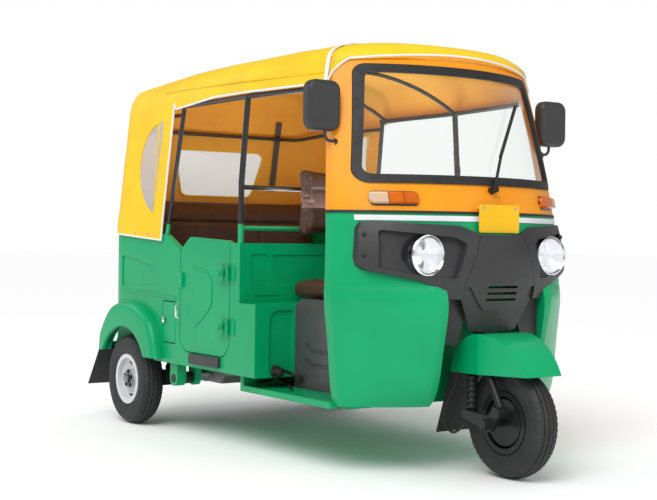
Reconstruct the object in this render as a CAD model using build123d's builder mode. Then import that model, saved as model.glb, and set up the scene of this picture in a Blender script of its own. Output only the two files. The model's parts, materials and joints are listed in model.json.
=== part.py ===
from build123d import *
import math
import os

os.makedirs("parts", exist_ok=True)

# Auto rickshaw in millimetres: +X forward, +Y to the driver's left, +Z up, ground at Z = 0.

# Wheels and stance
WHEELBASE = 2000.0
REAR_TRACK = 1150.0
TYRE_RADIUS = 212.0
TYRE_WIDTH = 106.0
BEAD_RADIUS = 104.0
BEAD_HALF = 40.0
FLANGE_RADIUS = 118.0
RIM_LIP = 6.0
AXLE_RADIUS = 15.0
DRUM_RADIUS = 88.0
RUNNING_FIT = 0.05
SEAT_FIT = 0.3
NUT_RADIUS = 21.0
NUT_THICK = 12.0
NUT_FIT = 0.5
REAR_END = 400.0

# Sheet and wall gauges
PANEL_WALL = 25.0
COWL_WALL = 22.0
CANOPY_SKIN = 8.0
SHEET = 4.0
GLASS = 5.0

# Rear tub, stations ahead of the rear axle
TUB_HALF = 600.0
TUB_OVERHANG = 280.0
TUB_CORNER = 170.0
TUB_FLOOR = 320.0
TUB_TOP_REAR = 935.0
TUB_TOP_FRONT = 900.0
QUARTER_FRONT = 345.0
NOTCH_HEIGHT = 835.0
PARTITION_STATION = 1000.0
PARTITION_TOP = 868.0
BULKHEAD_STATION = 1126.0
BULKHEAD_TOP = 620.0
BENCH_FRONT = 330.0
BENCH_TOP = 560.0
ARCH_RADIUS = 262.0

# Doors
DOOR_REAR = 488.0
DOOR_FRONT = 918.0
DOOR_TOP_REAR = 891.0
DOOR_TOP_FRONT = 876.0
DOOR_BOTTOM = 386.0
DOOR_SHOULDER = 832.0
DOOR_SLOPE = 84.0
DOOR_GAP = 5.0
HINGE_PIN = 5.0
HINGE_STANDOFF = 12.0

# Front: stations are measured from the front axle
WELL_HALF = 245.0
WELL_BACK = -345.0
WELL_TOP = 580.0
NOSE_GAP_BACK = -140.0
NOSE_GAP_TOP = 775.0
COWL_FLANGE = 45.0
BELT_HEIGHT = 1000.0
HEADER_TOP = 1592.0
FLOOR_TOP = 275.0
FLOOR_SHEET = 25.0
FLOOR_HALF = 560.0
LAMP_SIDE = 313.0
LAMP_DROP = 166.0
LAMP_HEIGHT = BELT_HEIGHT - LAMP_DROP
LAMP_RADIUS = 75.0
LAMP_FACE = -111.0
LAMP_DEPTH = 44.0

# Steering
STEER_RAKE = 25.0
STEER_OFFSET = -40.0
STEM_RADIUS = 22.0
HEAD_RADIUS = 33.0
HEAD_LOW = 560.0
HEAD_HIGH = 880.0
CROWN_HEIGHT = 470.0
STEM_HIGH = 1040.0
FORK_SIDE = -86.0

# Where a box or cylinder grows from its place
STANDING = (Align.CENTER, Align.CENTER, Align.MIN)
FORWARD = (Align.MIN, Align.CENTER, Align.CENTER)
FORWARD_UP = (Align.MIN, Align.CENTER, Align.MIN)
FORWARD_DOWN = (Align.MIN, Align.CENTER, Align.MAX)

REAR_AXLE_X = (REAR_END - WHEELBASE - TYRE_RADIUS) / 2
FRONT_AXLE_X = REAR_AXLE_X + WHEELBASE


def ahead(station):
    """X of a station measured forward from the rear axle."""
    return REAR_AXLE_X + station


def front(station):
    """X of a station measured forward from the front axle."""
    return FRONT_AXLE_X + station


def steer_point(height):
    """Point of the raked steering axis at a height."""
    run = (height - TYRE_RADIUS) * math.tan(math.radians(STEER_RAKE))
    return (front(STEER_OFFSET) - run, 0, height)


STEER_DIRECTION = (-math.sin(math.radians(STEER_RAKE)), 0, math.cos(math.radians(STEER_RAKE)))


def finish(piece, name):
    """Label a finished piece and write it as a STEP file."""
    piece.part.label = name
    export_step(piece.part, "parts/" + name + ".step")


# Curved front: each row is height, flange station, half width, nose station
COWL_TOP_ROWS = [
    (800.0, -362.0, 582.0, -80.0),
    (BELT_HEIGHT, -381.0, 570.0, -112.0),
]
# Cheeks: each row is height, flange station, half width, corner station, corner half, corner radius
CHEEK_ROWS = [
    (262.0, -350.0, 540.0, -192.0, 264.0, 40.0),
    (300.0, -350.0, 553.0, -160.0, 275.0, 50.0),
    (420.0, -350.0, 568.0, -124.0, 278.0, 55.0),
    (640.0, -352.0, 590.0, -88.0, 283.0, 55.0),
    (715.0, -356.0, 588.0, -106.0, 290.0, 55.0),
]
CHEEK_BULGE = 14.0
CHEEK_CROWN = 14.0
SCREEN_ROWS = [
    (BELT_HEIGHT, -381.0, 570.0, -112.0),
    (1100.0, -395.0, 561.0, -147.0),
    (HEADER_TOP, -492.0, 498.0, -306.0),
]
FASCIA_ROWS = [
    (520.0, -350.0, 598.0, -108.0),
    (690.0, -345.0, 600.0, -60.0),
    (800.0, -350.0, 598.0, -43.0),
    (880.0, -360.0, 592.0, -50.0),
    (960.0, -372.0, 585.0, -82.0),
]


def nose_form(rows, inset, open_back=0.0):
    """Solid behind the curved front, shrunk by inset, with flat side flanges."""
    with BuildPart() as form:
        for height, side, half, nose in rows:
            x_side = front(side)
            x_back = x_side - COWL_FLANGE - open_back
            y_side = half - inset
            with BuildSketch(Plane.XY.offset(height)):
                with BuildLine():
                    Line((x_back, -y_side), (x_side, -y_side))
                    ThreePointArc((x_side, -y_side), (front(nose) - inset, 0), (x_side, y_side))
                    Line((x_side, y_side), (x_back, y_side))
                    Line((x_back, y_side), (x_back, -y_side))
                make_face()
        loft()
    return form.part


def arc_points(side, half, nose, inset):
    """Right half of a plain cowl section: side, bulge, corner start, middle and end, nose."""
    rise = nose - inset - side
    bend = ((half - inset) ** 2 + rise**2) / (2 * rise)
    reach = math.asin((half - inset) / bend)
    middle = front(nose) - inset - bend
    points = []
    for share in (1.0, 0.8, 0.6, 0.5, 0.4, 0.0):
        points.append((middle + bend * math.cos(reach * share), -bend * math.sin(reach * share)))
    return points


def cheek_points(side, half, corner, corner_half, radius, inset):
    """Right half of a cheek section, in the same order, with a rounded front corner."""
    flange = Vector(front(side), inset - half)
    tip = Vector(front(corner) - inset, inset - corner_half)
    nose = Vector(front(corner) - inset + CHEEK_CROWN, 0)
    back = (flange - tip).normalized()
    across = (nose - tip).normalized()
    half_angle = math.radians(back.get_angle(across)) / 2
    reach = (radius - inset) / math.tan(half_angle)
    first = tip + back * reach
    last = tip + across * reach
    bisector = (back + across).normalized()
    middle = tip + bisector * (radius - inset) * (1 / math.sin(half_angle) - 1)
    bulge = (flange + first) / 2 + Vector(-back.Y, back.X) * CHEEK_BULGE
    return [(point.X, point.Y) for point in (flange, bulge, first, middle, last, nose)]


def cowl_section(points, height, back):
    """Closed cowl section from the points of its right half."""
    left = [(point[0], -point[1]) for point in points]
    side, bulge, first, middle, last, nose = points
    with BuildSketch(Plane.XY.offset(height)) as section:
        with BuildLine():
            Line((back, side[1]), side)
            ThreePointArc(side, bulge, first)
            ThreePointArc(first, middle, last)
            ThreePointArc(last, nose, left[4])
            ThreePointArc(left[4], left[3], left[2])
            ThreePointArc(left[2], left[1], left[0])
            Line(left[0], (back, left[0][1]))
            Line((back, left[0][1]), (back, side[1]))
        make_face()
    return section.sketch


def cowl_form(inset, open_back=0.0):
    """Solid behind the lower cowl, shrunk by inset: cheeks below, a plain curved band above."""
    arcs = [(row[0], row[1], arc_points(*row[1:], inset)) for row in COWL_TOP_ROWS]
    cheeks = [(row[0], row[1], cheek_points(*row[1:], inset)) for row in CHEEK_ROWS]
    with BuildPart() as form:
        for group in (cheeks, [cheeks[-1]] + arcs):
            sections = []
            for height, side, points in group:
                back = front(side) - COWL_FLANGE - open_back
                sections.append(cowl_section(points, height, back))
            loft(sections)
    return form.part


def front_prism(points, low, high, radius=0.0):
    """Solid from an outline in the front view (Y, Z), reaching from X low to X high."""
    with BuildPart() as prism:
        with BuildSketch(Plane((low, 0, 0), x_dir=(0, 1, 0), z_dir=(1, 0, 0))) as outline:
            with BuildLine():
                Polyline(*points, close=True)
            make_face()
            if radius > 0:
                fillet(outline.vertices(), radius)
        extrude(amount=high - low)
    return prism.part


def side_prism(points, y_low, y_high, radius=0.0):
    """Solid from an outline in the side view (X, Z), reaching from Y low to Y high."""
    with BuildPart() as prism:
        with BuildSketch(Plane.XZ.offset(-y_high)) as outline:
            with BuildLine():
                Polyline(*points, close=True)
            make_face()
            if radius > 0:
                fillet(outline.vertices(), radius)
        extrude(amount=y_high - y_low)
    return prism.part


def wheel_plane(x, y):
    """Half section plane of a wheel: local X along the axle, local Y radial."""
    return Plane((x, y, TYRE_RADIUS), x_dir=(0, 1, 0), z_dir=(1, 0, 0))


def wheel_axis(x, y):
    return Axis((x, y, TYRE_RADIUS), (0, 1, 0))


def mirrored(source):
    """Mirror copy of a right-hand piece for the left side."""
    with BuildPart() as copy:
        mirror(source.part, about=Plane.XZ)
    return copy


# Tyres
WHEELS = [
    # name, X, Y, outward side
    ("front", FRONT_AXLE_X, 0.0, -1),
    ("rear_right", REAR_AXLE_X, -REAR_TRACK / 2, -1),
    ("rear_left", REAR_AXLE_X, REAR_TRACK / 2, 1),
]
HALF = TYRE_WIDTH / 2
for name, wheel_x, wheel_y, outward in WHEELS:
    with BuildPart() as tyre:
        with BuildSketch(wheel_plane(wheel_x, wheel_y)):
            with BuildLine():
                Line((-BEAD_HALF, BEAD_RADIUS), (-BEAD_HALF, FLANGE_RADIUS + 2))
                ThreePointArc(
                    (-BEAD_HALF, FLANGE_RADIUS + 2),
                    (-HALF, (BEAD_RADIUS + TYRE_RADIUS) / 2),
                    (-HALF + 7, TYRE_RADIUS - 16),
                )
                ThreePointArc((-HALF + 7, TYRE_RADIUS - 16), (0, TYRE_RADIUS), (HALF - 7, TYRE_RADIUS - 16))
                ThreePointArc(
                    (HALF - 7, TYRE_RADIUS - 16),
                    (HALF, (BEAD_RADIUS + TYRE_RADIUS) / 2),
                    (BEAD_HALF, FLANGE_RADIUS + 2),
                )
                Line((BEAD_HALF, FLANGE_RADIUS + 2), (BEAD_HALF, BEAD_RADIUS))
                Line((BEAD_HALF, BEAD_RADIUS), (-BEAD_HALF, BEAD_RADIUS))
            make_face()
        revolve(axis=wheel_axis(wheel_x, wheel_y))
    finish(tyre, name + "_tyre")

# Rims: dished disc, drum and hub in one turned piece
HUB_FACE = 34.0
BORE = AXLE_RADIUS + RUNNING_FIT
LIP = BEAD_HALF + SEAT_FIT
for name, wheel_x, wheel_y, outward in WHEELS:
    profile = [
        (LIP + RIM_LIP, FLANGE_RADIUS),
        (LIP + RIM_LIP, BEAD_RADIUS - 6),
        (24, BEAD_RADIUS - 8),
        (12, 62),
        (20, 56),
        (20, 40),
        (HUB_FACE, 30),
        (HUB_FACE, BORE),
        (-BEAD_HALF, BORE),
        (-BEAD_HALF, DRUM_RADIUS),
        (2, DRUM_RADIUS),
        (8, BEAD_RADIUS - 6),
        (-LIP - RIM_LIP, BEAD_RADIUS - 6),
        (-LIP - RIM_LIP, FLANGE_RADIUS),
        (-LIP, FLANGE_RADIUS),
        (-LIP, BEAD_RADIUS - SEAT_FIT),
        (LIP, BEAD_RADIUS - SEAT_FIT),
        (LIP, FLANGE_RADIUS),
    ]
    facing = -outward if name == "front" else outward
    with BuildPart() as rim:
        with BuildSketch(wheel_plane(wheel_x, wheel_y)):
            with BuildLine():
                Polyline(*[(facing * along, radial) for along, radial in profile], close=True)
            make_face()
        revolve(axis=wheel_axis(wheel_x, wheel_y))
    finish(rim, name + "_rim")

# Front cowl below the belt: two cheeks round the wheel well
cowl_outer = cowl_form(0.0)
with BuildPart() as cowl_cavity:
    add(cowl_form(COWL_WALL, open_back=10.0))
    with Locations((front(WELL_BACK) - COWL_WALL, 0, WELL_TOP + COWL_WALL)):
        Box(
            600,
            2 * (WELL_HALF + COWL_WALL),
            600,
            align=FORWARD_DOWN,
            mode=Mode.SUBTRACT,
        )
    with Locations((front(NOSE_GAP_BACK) - COWL_WALL, 0, NOSE_GAP_TOP + COWL_WALL)):
        Box(
            600,
            2 * (WELL_HALF + COWL_WALL),
            600,
            align=FORWARD_DOWN,
            mode=Mode.SUBTRACT,
        )
with BuildPart() as front_cowl:
    add(cowl_outer)
    add(cowl_cavity.part, mode=Mode.SUBTRACT)
    with Locations((front(WELL_BACK), 0, WELL_TOP)):
        Box(600, 2 * WELL_HALF, 600, align=FORWARD_DOWN, mode=Mode.SUBTRACT)
    with Locations((front(NOSE_GAP_BACK), 0, NOSE_GAP_TOP)):
        Box(600, 2 * WELL_HALF, 600, align=FORWARD_DOWN, mode=Mode.SUBTRACT)
    with BuildSketch(Plane(steer_point(HEAD_LOW), x_dir=(0, 1, 0), z_dir=STEER_DIRECTION)):
        Circle(HEAD_RADIUS + SEAT_FIT)
    extrude(amount=HEAD_HIGH - HEAD_LOW, mode=Mode.SUBTRACT)
    with BuildSketch(Plane.YZ.offset(front(LAMP_FACE - LAMP_DEPTH) - SEAT_FIT)):
        with Locations((-LAMP_SIDE, LAMP_HEIGHT), (LAMP_SIDE, LAMP_HEIGHT)):
            Circle(LAMP_RADIUS + SEAT_FIT)
    extrude(amount=200.0, mode=Mode.SUBTRACT)
finish(front_cowl, "front_cowl")

# Upper cowl: windscreen surround, pillars and header
SCREEN_LOW = 1103.0
SCREEN_HIGH = 1566.0
SCREEN_HALF_LOW = 514.0
SCREEN_HALF_HIGH = 446.0
SCREEN_CORNER = 48.0
SEAL_FACE = 34.0
SEAL_PROUD = 6.0
SEAL_GRIP = 10.0


def screen_outline(inset):
    """Windscreen outline in the front view, inset from the seal's outer edge."""
    return [
        (-SCREEN_HALF_LOW + inset, SCREEN_LOW + inset),
        (SCREEN_HALF_LOW - inset, SCREEN_LOW + inset),
        (SCREEN_HALF_HIGH - inset, SCREEN_HIGH - inset),
        (-SCREEN_HALF_HIGH + inset, SCREEN_HIGH - inset),
    ]


PRISM_BACK = front(-560.0)
PRISM_FRONT = front(60.0)
seal_prism = front_prism(screen_outline(0.0), PRISM_BACK, PRISM_FRONT, SCREEN_CORNER)
sight_prism = front_prism(screen_outline(SEAL_FACE), PRISM_BACK, PRISM_FRONT, SCREEN_CORNER - 20)
glass_prism = front_prism(
    screen_outline(SEAL_FACE - SEAL_GRIP), PRISM_BACK, PRISM_FRONT, SCREEN_CORNER - 14
)
screen_outer = nose_form(SCREEN_ROWS, 0.0)
screen_inner = nose_form(SCREEN_ROWS, COWL_WALL, open_back=10.0)
with BuildPart() as upper_cowl:
    add(screen_outer)
    add(screen_inner, mode=Mode.SUBTRACT)
    add(seal_prism, mode=Mode.SUBTRACT)
finish(upper_cowl, "upper_cowl")

glass_front = nose_form(SCREEN_ROWS, COWL_WALL / 2 - GLASS / 2)
glass_back = nose_form(SCREEN_ROWS, COWL_WALL / 2 + GLASS / 2, open_back=10.0)
with BuildPart() as windscreen:
    add(glass_front)
    add(glass_back, mode=Mode.SUBTRACT)
    add(glass_prism, mode=Mode.INTERSECT)
finish(windscreen, "windscreen")

with BuildPart() as windscreen_seal:
    add(nose_form(SCREEN_ROWS, -SEAL_PROUD))
    add(screen_inner, mode=Mode.SUBTRACT)
    add(seal_prism, mode=Mode.INTERSECT)
    add(sight_prism, mode=Mode.SUBTRACT)
    add(windscreen.part, mode=Mode.SUBTRACT)
finish(windscreen_seal, "windscreen_seal")

# Belt welt between the two cowls, proud of both
WELT_HEIGHT = 10.0
WELT_PROUD = 5.0
WELT_END = 4.0
with BuildPart() as welt_band:
    welt_back = front(COWL_TOP_ROWS[-1][1]) - COWL_FLANGE + WELT_END
    with Locations((welt_back, 0, BELT_HEIGHT - WELT_HEIGHT)):
        Box(700, 1400, WELT_HEIGHT, align=FORWARD_UP)
with BuildPart() as belt_welt:
    add(cowl_form(-WELT_PROUD))
    add(cowl_outer, mode=Mode.SUBTRACT)
    add(welt_band.part, mode=Mode.INTERSECT)
finish(belt_welt, "belt_welt")

# Lamp surrounds and nose panel
FASCIA_DEPTH = 48.0
NOSE_SHEET = 18.0
SEAM = 2.0
fascia_outer = nose_form(FASCIA_ROWS, 0.0)
fascia_inner = nose_form(FASCIA_ROWS, FASCIA_DEPTH, open_back=10.0)
nose_inner = nose_form(FASCIA_ROWS, NOSE_SHEET, open_back=10.0)
SLOT_DROP = 166.0
SLOT_PITCH = 24.0
SLOT_WIDE = 150.0
SLOT_TALL = 9.0
CHIN_STEP = 10.0
# Half outlines in the front view: half width, height above the lamps
NOSE_EDGE = [
    (100.0, 80.0),
    (116.0, 57.0),
    (148.0, -33.0),
    (178.0, -115.0),
    (175.0, -165.0),
    (146.0, -222.0),
    (118.0, -280.0),
    (75.0, -291.0),
]
CHIN_EDGE = [(200.0, -116.0), (152.0, -116.0), (112.0, -173.0), (82.0, -204.0)]


def whole_outline(edge):
    """Closed front outline from a half outline given from top to bottom."""
    right = [(-half, LAMP_HEIGHT + rise) for half, rise in edge]
    left = [(half, LAMP_HEIGHT + rise) for half, rise in reversed(edge)]
    return right + left


nose_prism = front_prism(whole_outline(NOSE_EDGE), PRISM_BACK, PRISM_FRONT)
chin_low = (CHIN_EDGE[0][0], NOSE_EDGE[-1][1] - CHIN_STEP)
chin_prism = front_prism(whole_outline([chin_low] + CHIN_EDGE), PRISM_BACK, PRISM_FRONT)
with BuildPart() as chin_skin:
    add(fascia_outer)
    add(nose_form(FASCIA_ROWS, CHIN_STEP, open_back=10.0), mode=Mode.SUBTRACT)
    add(chin_prism, mode=Mode.INTERSECT)
with BuildPart() as nose_panel:
    add(fascia_outer)
    add(nose_inner, mode=Mode.SUBTRACT)
    add(nose_prism, mode=Mode.INTERSECT)
    add(chin_skin.part, mode=Mode.SUBTRACT)
    with BuildSketch(Plane.YZ.offset(PRISM_FRONT)):
        for slot in range(3):
            with Locations((0, LAMP_HEIGHT - SLOT_DROP + SLOT_PITCH * slot)):
                RectangleRounded(SLOT_WIDE, SLOT_TALL, SLOT_TALL / 2 - 0.5)
    extrude(amount=-400.0, mode=Mode.SUBTRACT)
finish(nose_panel, "nose_panel")

# Surround: outer edge from the belt round to the nose, then back up along the nose's edge
SURROUND_EDGE = [
    (185.0, 112.0),
    (470.0, 125.0),
    (505.0, 121.0),
    (518.0, 98.0),
    (529.0, -13.0),
    (524.0, -42.0),
    (508.0, -57.0),
    (343.0, -95.0),
    (296.0, -113.0),
    (258.0, -139.0),
    (236.0, -161.0),
]
seam_edge = [(half + SEAM, rise) for half, rise in reversed(NOSE_EDGE[:5])]
surround_outline = [(-half, LAMP_HEIGHT + rise) for half, rise in SURROUND_EDGE + seam_edge]
surround_prism = front_prism(surround_outline, PRISM_BACK, PRISM_FRONT)
POCKET_EDGE = [
    (465.0, 94.0),
    (210.0, 67.0),
    (170.0, 44.0),
    (213.0, -88.0),
    (345.0, -73.0),
    (475.0, -49.0),
]
POCKET_CORNER = 14.0
POCKET_SHEET = 8.0
LEG_EDGE = [
    (WELL_HALF - SEAM, 500.0),
    (165.0, 500.0),
    (150.0, 545.0),
    (133.0, 590.0),
    (133.0, NOSE_GAP_TOP - SEAM),
    (WELL_HALF - SEAM, NOSE_GAP_TOP - SEAM),
]
LEG_SHEET = 12.0
pocket_outline = [(-half, LAMP_HEIGHT + rise) for half, rise in POCKET_EDGE]
leg_back = front(NOSE_GAP_BACK) + SEAT_FIT
BOSS_RADIUS = 9.0
BOSS_SIDE = 148.0
BOSS_HEIGHTS = (640.0, 720.0)
with BuildPart() as nose_bosses:
    add(nose_form(FASCIA_ROWS, NOSE_SHEET + SEAT_FIT))
    with BuildSketch(Plane.YZ.offset(leg_back)):
        with Locations(*[(-BOSS_SIDE, height) for height in BOSS_HEIGHTS]):
            Circle(BOSS_RADIUS)
    extrude(amount=FASCIA_DEPTH + LEG_SHEET, mode=Mode.INTERSECT)
with BuildPart() as lamp_pocket:
    add(front_prism(pocket_outline, PRISM_BACK, PRISM_FRONT, POCKET_CORNER))
    add(cowl_form(-POCKET_SHEET), mode=Mode.SUBTRACT)
with BuildPart() as cowl_block:
    add(cowl_outer)
    with Locations((front(NOSE_GAP_BACK), 0, NOSE_GAP_TOP)):
        Box(600, 2 * WELL_HALF, 600, align=FORWARD_DOWN, mode=Mode.SUBTRACT)
with BuildPart() as lamp_surround_right:
    add(fascia_outer)
    add(fascia_inner, mode=Mode.SUBTRACT)
    add(surround_prism, mode=Mode.INTERSECT)
    add(cowl_block.part, mode=Mode.SUBTRACT)
    add(lamp_pocket.part, mode=Mode.SUBTRACT)
    with BuildSketch(Plane.YZ.offset(front(LAMP_FACE - LAMP_DEPTH) - 60.0)):
        with Locations((-LAMP_SIDE, LAMP_HEIGHT)):
            Circle(LAMP_RADIUS + SEAT_FIT)
    extrude(amount=300.0, mode=Mode.SUBTRACT)
    add(front_prism([(-half, height) for half, height in LEG_EDGE], leg_back, leg_back + LEG_SHEET))
    add(nose_bosses.part)
with BuildPart() as lamp_surrounds:
    add(lamp_surround_right.part)
    mirror(lamp_surround_right.part, about=Plane.XZ)
finish(lamp_surrounds, "lamp_surrounds")

# Headlamps: bowl with a domed lens in its rim
LENS_DROP = 14.0
LENS_SHEET = 4.0
BOWL_SHEET = 4.0
with BuildPart() as headlamp_bowls:
    for side in (-1, 1):
        lamp_place = (front(LAMP_FACE), side * LAMP_SIDE, LAMP_HEIGHT)
        lamp_plane = Plane(lamp_place, x_dir=(1, 0, 0), z_dir=(0, -1, 0))
        lamp_axis = Axis(lamp_place, (1, 0, 0))
        with BuildSketch(lamp_plane):
            with BuildLine():
                Polyline(
                    (-LENS_DROP, LAMP_RADIUS),
                    (-LAMP_DEPTH, LAMP_RADIUS),
                    (-LAMP_DEPTH, 0),
                    (-LAMP_DEPTH + BOWL_SHEET, 0),
                    (-LAMP_DEPTH + BOWL_SHEET, 20),
                    (-LENS_DROP, LAMP_RADIUS - BOWL_SHEET),
                    close=True,
                )
            make_face()
        revolve(axis=lamp_axis)
finish(headlamp_bowls, "headlamp_bowls")
lens_bend = (LAMP_RADIUS**2 + LENS_DROP**2) / (2 * LENS_DROP)
lens_inner = math.sqrt((lens_bend - LENS_SHEET) ** 2 - (lens_bend - LENS_DROP) ** 2)
with BuildPart() as headlamp_lenses:
    for side in (-1, 1):
        lamp_place = (front(LAMP_FACE), side * LAMP_SIDE, LAMP_HEIGHT)
        lamp_plane = Plane(lamp_place, x_dir=(1, 0, 0), z_dir=(0, -1, 0))
        lamp_axis = Axis(lamp_place, (1, 0, 0))
        with BuildSketch(lamp_plane):
            with BuildLine():
                RadiusArc((0, 0), (-LENS_DROP, LAMP_RADIUS), -lens_bend)
                Line((-LENS_DROP, LAMP_RADIUS), (-LENS_DROP, lens_inner))
                RadiusArc((-LENS_DROP, lens_inner), (-LENS_SHEET, 0), lens_bend - LENS_SHEET)
                Line((-LENS_SHEET, 0), (0, 0))
            make_face()
        revolve(axis=lamp_axis)
finish(headlamp_lenses, "headlamp_lenses")

# Indicators on the upper cowl
INDICATOR_SIDE = 400.0
INDICATOR_HEIGHT = 1044.0
INDICATOR_WIDTH = 108.0
INDICATOR_TALL = 30.0
INDICATOR_PROUD = 20.0
with BuildPart() as indicator_lamps:
    add(nose_form(SCREEN_ROWS, -INDICATOR_PROUD))
    add(screen_outer, mode=Mode.SUBTRACT)
    with BuildSketch(Plane.YZ.offset(PRISM_BACK)):
        with Locations((-INDICATOR_SIDE, INDICATOR_HEIGHT), (INDICATOR_SIDE, INDICATOR_HEIGHT)):
            RectangleRounded(INDICATOR_WIDTH, INDICATOR_TALL, 10.0)
    extrude(amount=PRISM_FRONT - PRISM_BACK, mode=Mode.INTERSECT)
finish(indicator_lamps, "indicator_lamps")

# Blank number plate on two bolts
PLATE_WIDE = 202.0
PLATE_LOW = 922.0
PLATE_HIGH = 1028.0
PLATE_FACE = -84.0
PLATE_SHEET = 3.0
PLATE_BOLT = 5.0
with BuildPart() as number_plate:
    with BuildSketch(Plane.YZ.offset(front(PLATE_FACE) - PLATE_SHEET)):
        with Locations((0, (PLATE_LOW + PLATE_HIGH) / 2)):
            RectangleRounded(PLATE_WIDE, PLATE_HIGH - PLATE_LOW, 6.0)
    extrude(amount=PLATE_SHEET)
    with BuildSketch(Plane.YZ.offset(front(PLATE_FACE) - PLATE_SHEET)):
        with Locations((-80.0, PLATE_HIGH - 14.0), (80.0, PLATE_HIGH - 14.0)):
            Circle(PLATE_BOLT)
    extrude(amount=-60.0)
    add(screen_outer, mode=Mode.SUBTRACT)
finish(number_plate, "number_plate")

# Wiper: boss on the cowl, arm and blade along the glass
WIPER_HEIGHT = 1078.0
WIPER_RADIUS = 6.0
WIPER_BOSS = 15.0
with BuildPart() as wiper_boss:
    with BuildSketch(Plane((front(-155.0), 5.0, WIPER_HEIGHT), z_dir=(1, 0, 0.3))):
        Circle(WIPER_BOSS)
    extrude(amount=46.0)
    add(nose_form(SCREEN_ROWS, -SEAT_FIT), mode=Mode.SUBTRACT)
with BuildPart() as wiper:
    with BuildLine():
        wiper_path = FilletPolyline(
            (front(-122.0), 5.0, WIPER_HEIGHT + 4.0),
            (front(-178.0), 90.0, 1230.0),
            (front(-283.0), 258.0, 1436.0),
            radius=60.0,
        )
    with BuildSketch(Plane(wiper_path @ 0, z_dir=wiper_path % 0)):
        Circle(WIPER_RADIUS)
    sweep()
    add(nose_form(SCREEN_ROWS, -SEAL_PROUD - SEAT_FIT), mode=Mode.SUBTRACT)
    add(wiper_boss.part)
finish(wiper, "wiper")

# Door mirrors on bent arms from the pillars
MIRROR_SIDE = 593.0
MIRROR_HEIGHT = 1392.0
MIRROR_STATION = -420.0
MIRROR_WIDE = 146.0
MIRROR_TALL = 192.0
MIRROR_DEEP = 46.0
MIRROR_ARM = 6.0
with BuildPart() as mirror_right:
    with BuildSketch(Plane.YZ.offset(front(MIRROR_STATION) - MIRROR_DEEP / 2)):
        with Locations((-MIRROR_SIDE, MIRROR_HEIGHT)):
            RectangleRounded(MIRROR_WIDE, MIRROR_TALL, 40.0)
    extrude(amount=MIRROR_DEEP)
    fillet(mirror_right.faces().sort_by(Axis.X)[-1].edges(), 18.0)
    with BuildLine():
        mirror_path = FilletPolyline(
            (front(MIRROR_STATION), -MIRROR_SIDE + 10.0, MIRROR_HEIGHT - MIRROR_TALL / 2 + 20.0),
            (front(MIRROR_STATION), -MIRROR_SIDE + 14.0, 1262.0),
            (front(MIRROR_STATION) - 4.0, -470.0, 1256.0),
            radius=24.0,
        )
    with BuildSketch(Plane(mirror_path @ 0, z_dir=mirror_path % 0)):
        Circle(MIRROR_ARM)
    sweep()
    with BuildSketch(Plane.XZ.offset(480.0)):
        with Locations((front(MIRROR_STATION) - 4.0, 1256.0)):
            Circle(17.0)
    extrude(amount=60.0)
    add(nose_form(SCREEN_ROWS, 0.0, open_back=10.0), mode=Mode.SUBTRACT)
with BuildPart() as mirrors:
    add(mirror_right.part.solids().sort_by(SortBy.VOLUME)[-1])
    mirror(mirror_right.part.solids().sort_by(SortBy.VOLUME)[-1], about=Plane.XZ)
finish(mirrors, "mirrors")

# Driver's floor: rises to meet the passenger floor at its rear edge
FLOOR_REAR = 950.0
with BuildPart() as floor_front:
    add(cowl_form(COWL_WALL + SEAT_FIT))
    with Locations((front(WELL_BACK) - COWL_WALL, 0, 0)):
        Box(600, 2 * (WELL_HALF + COWL_WALL), 800, align=FORWARD_UP, mode=Mode.SUBTRACT)
    with Locations((0, 0, CHEEK_ROWS[0][0])):
        Box(6000, 3000, FLOOR_TOP - CHEEK_ROWS[0][0], align=STANDING, mode=Mode.INTERSECT)
with BuildPart() as driver_floor:
    with BuildSketch(Plane.XZ.offset(-FLOOR_HALF)):
        with BuildLine():
            Polyline(
                (ahead(FLOOR_REAR), FLOOR_TOP - FLOOR_SHEET),
                (front(CHEEK_ROWS[0][1]) - COWL_FLANGE - 0.5, FLOOR_TOP - FLOOR_SHEET),
                (front(CHEEK_ROWS[0][1]) - COWL_FLANGE - 0.5, FLOOR_TOP),
                (ahead(FLOOR_REAR) + PANEL_WALL, FLOOR_TOP),
                (ahead(FLOOR_REAR) + PANEL_WALL, TUB_FLOOR),
                (ahead(FLOOR_REAR), TUB_FLOOR),
                close=True,
            )
        make_face()
    extrude(amount=2 * FLOOR_HALF)
    add(floor_front.part)
    with Locations((front(CHEEK_ROWS[0][1]) - COWL_FLANGE - 0.5, 0, FLOOR_TOP - FLOOR_SHEET)):
        Box(
            COWL_FLANGE,
            2 * (CHEEK_ROWS[0][2] - COWL_WALL - 8.0),
            FLOOR_SHEET,
            align=FORWARD_UP,
        )
    with Locations((front(WELL_BACK) - COWL_WALL, 0, 0)):
        Box(600, 2 * (WELL_HALF + COWL_WALL), 800, align=FORWARD_UP, mode=Mode.SUBTRACT)
finish(driver_floor, "driver_floor")

# Steering head tube fixed in the well roof
with BuildPart() as steering_head:
    with BuildSketch(Plane(steer_point(HEAD_LOW), x_dir=(0, 1, 0), z_dir=STEER_DIRECTION)):
        Circle(HEAD_RADIUS)
        Circle(STEM_RADIUS + RUNNING_FIT, mode=Mode.SUBTRACT)
    extrude(amount=(HEAD_HIGH - HEAD_LOW) / math.cos(math.radians(STEER_RAKE)))
finish(steering_head, "steering_head")

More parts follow.
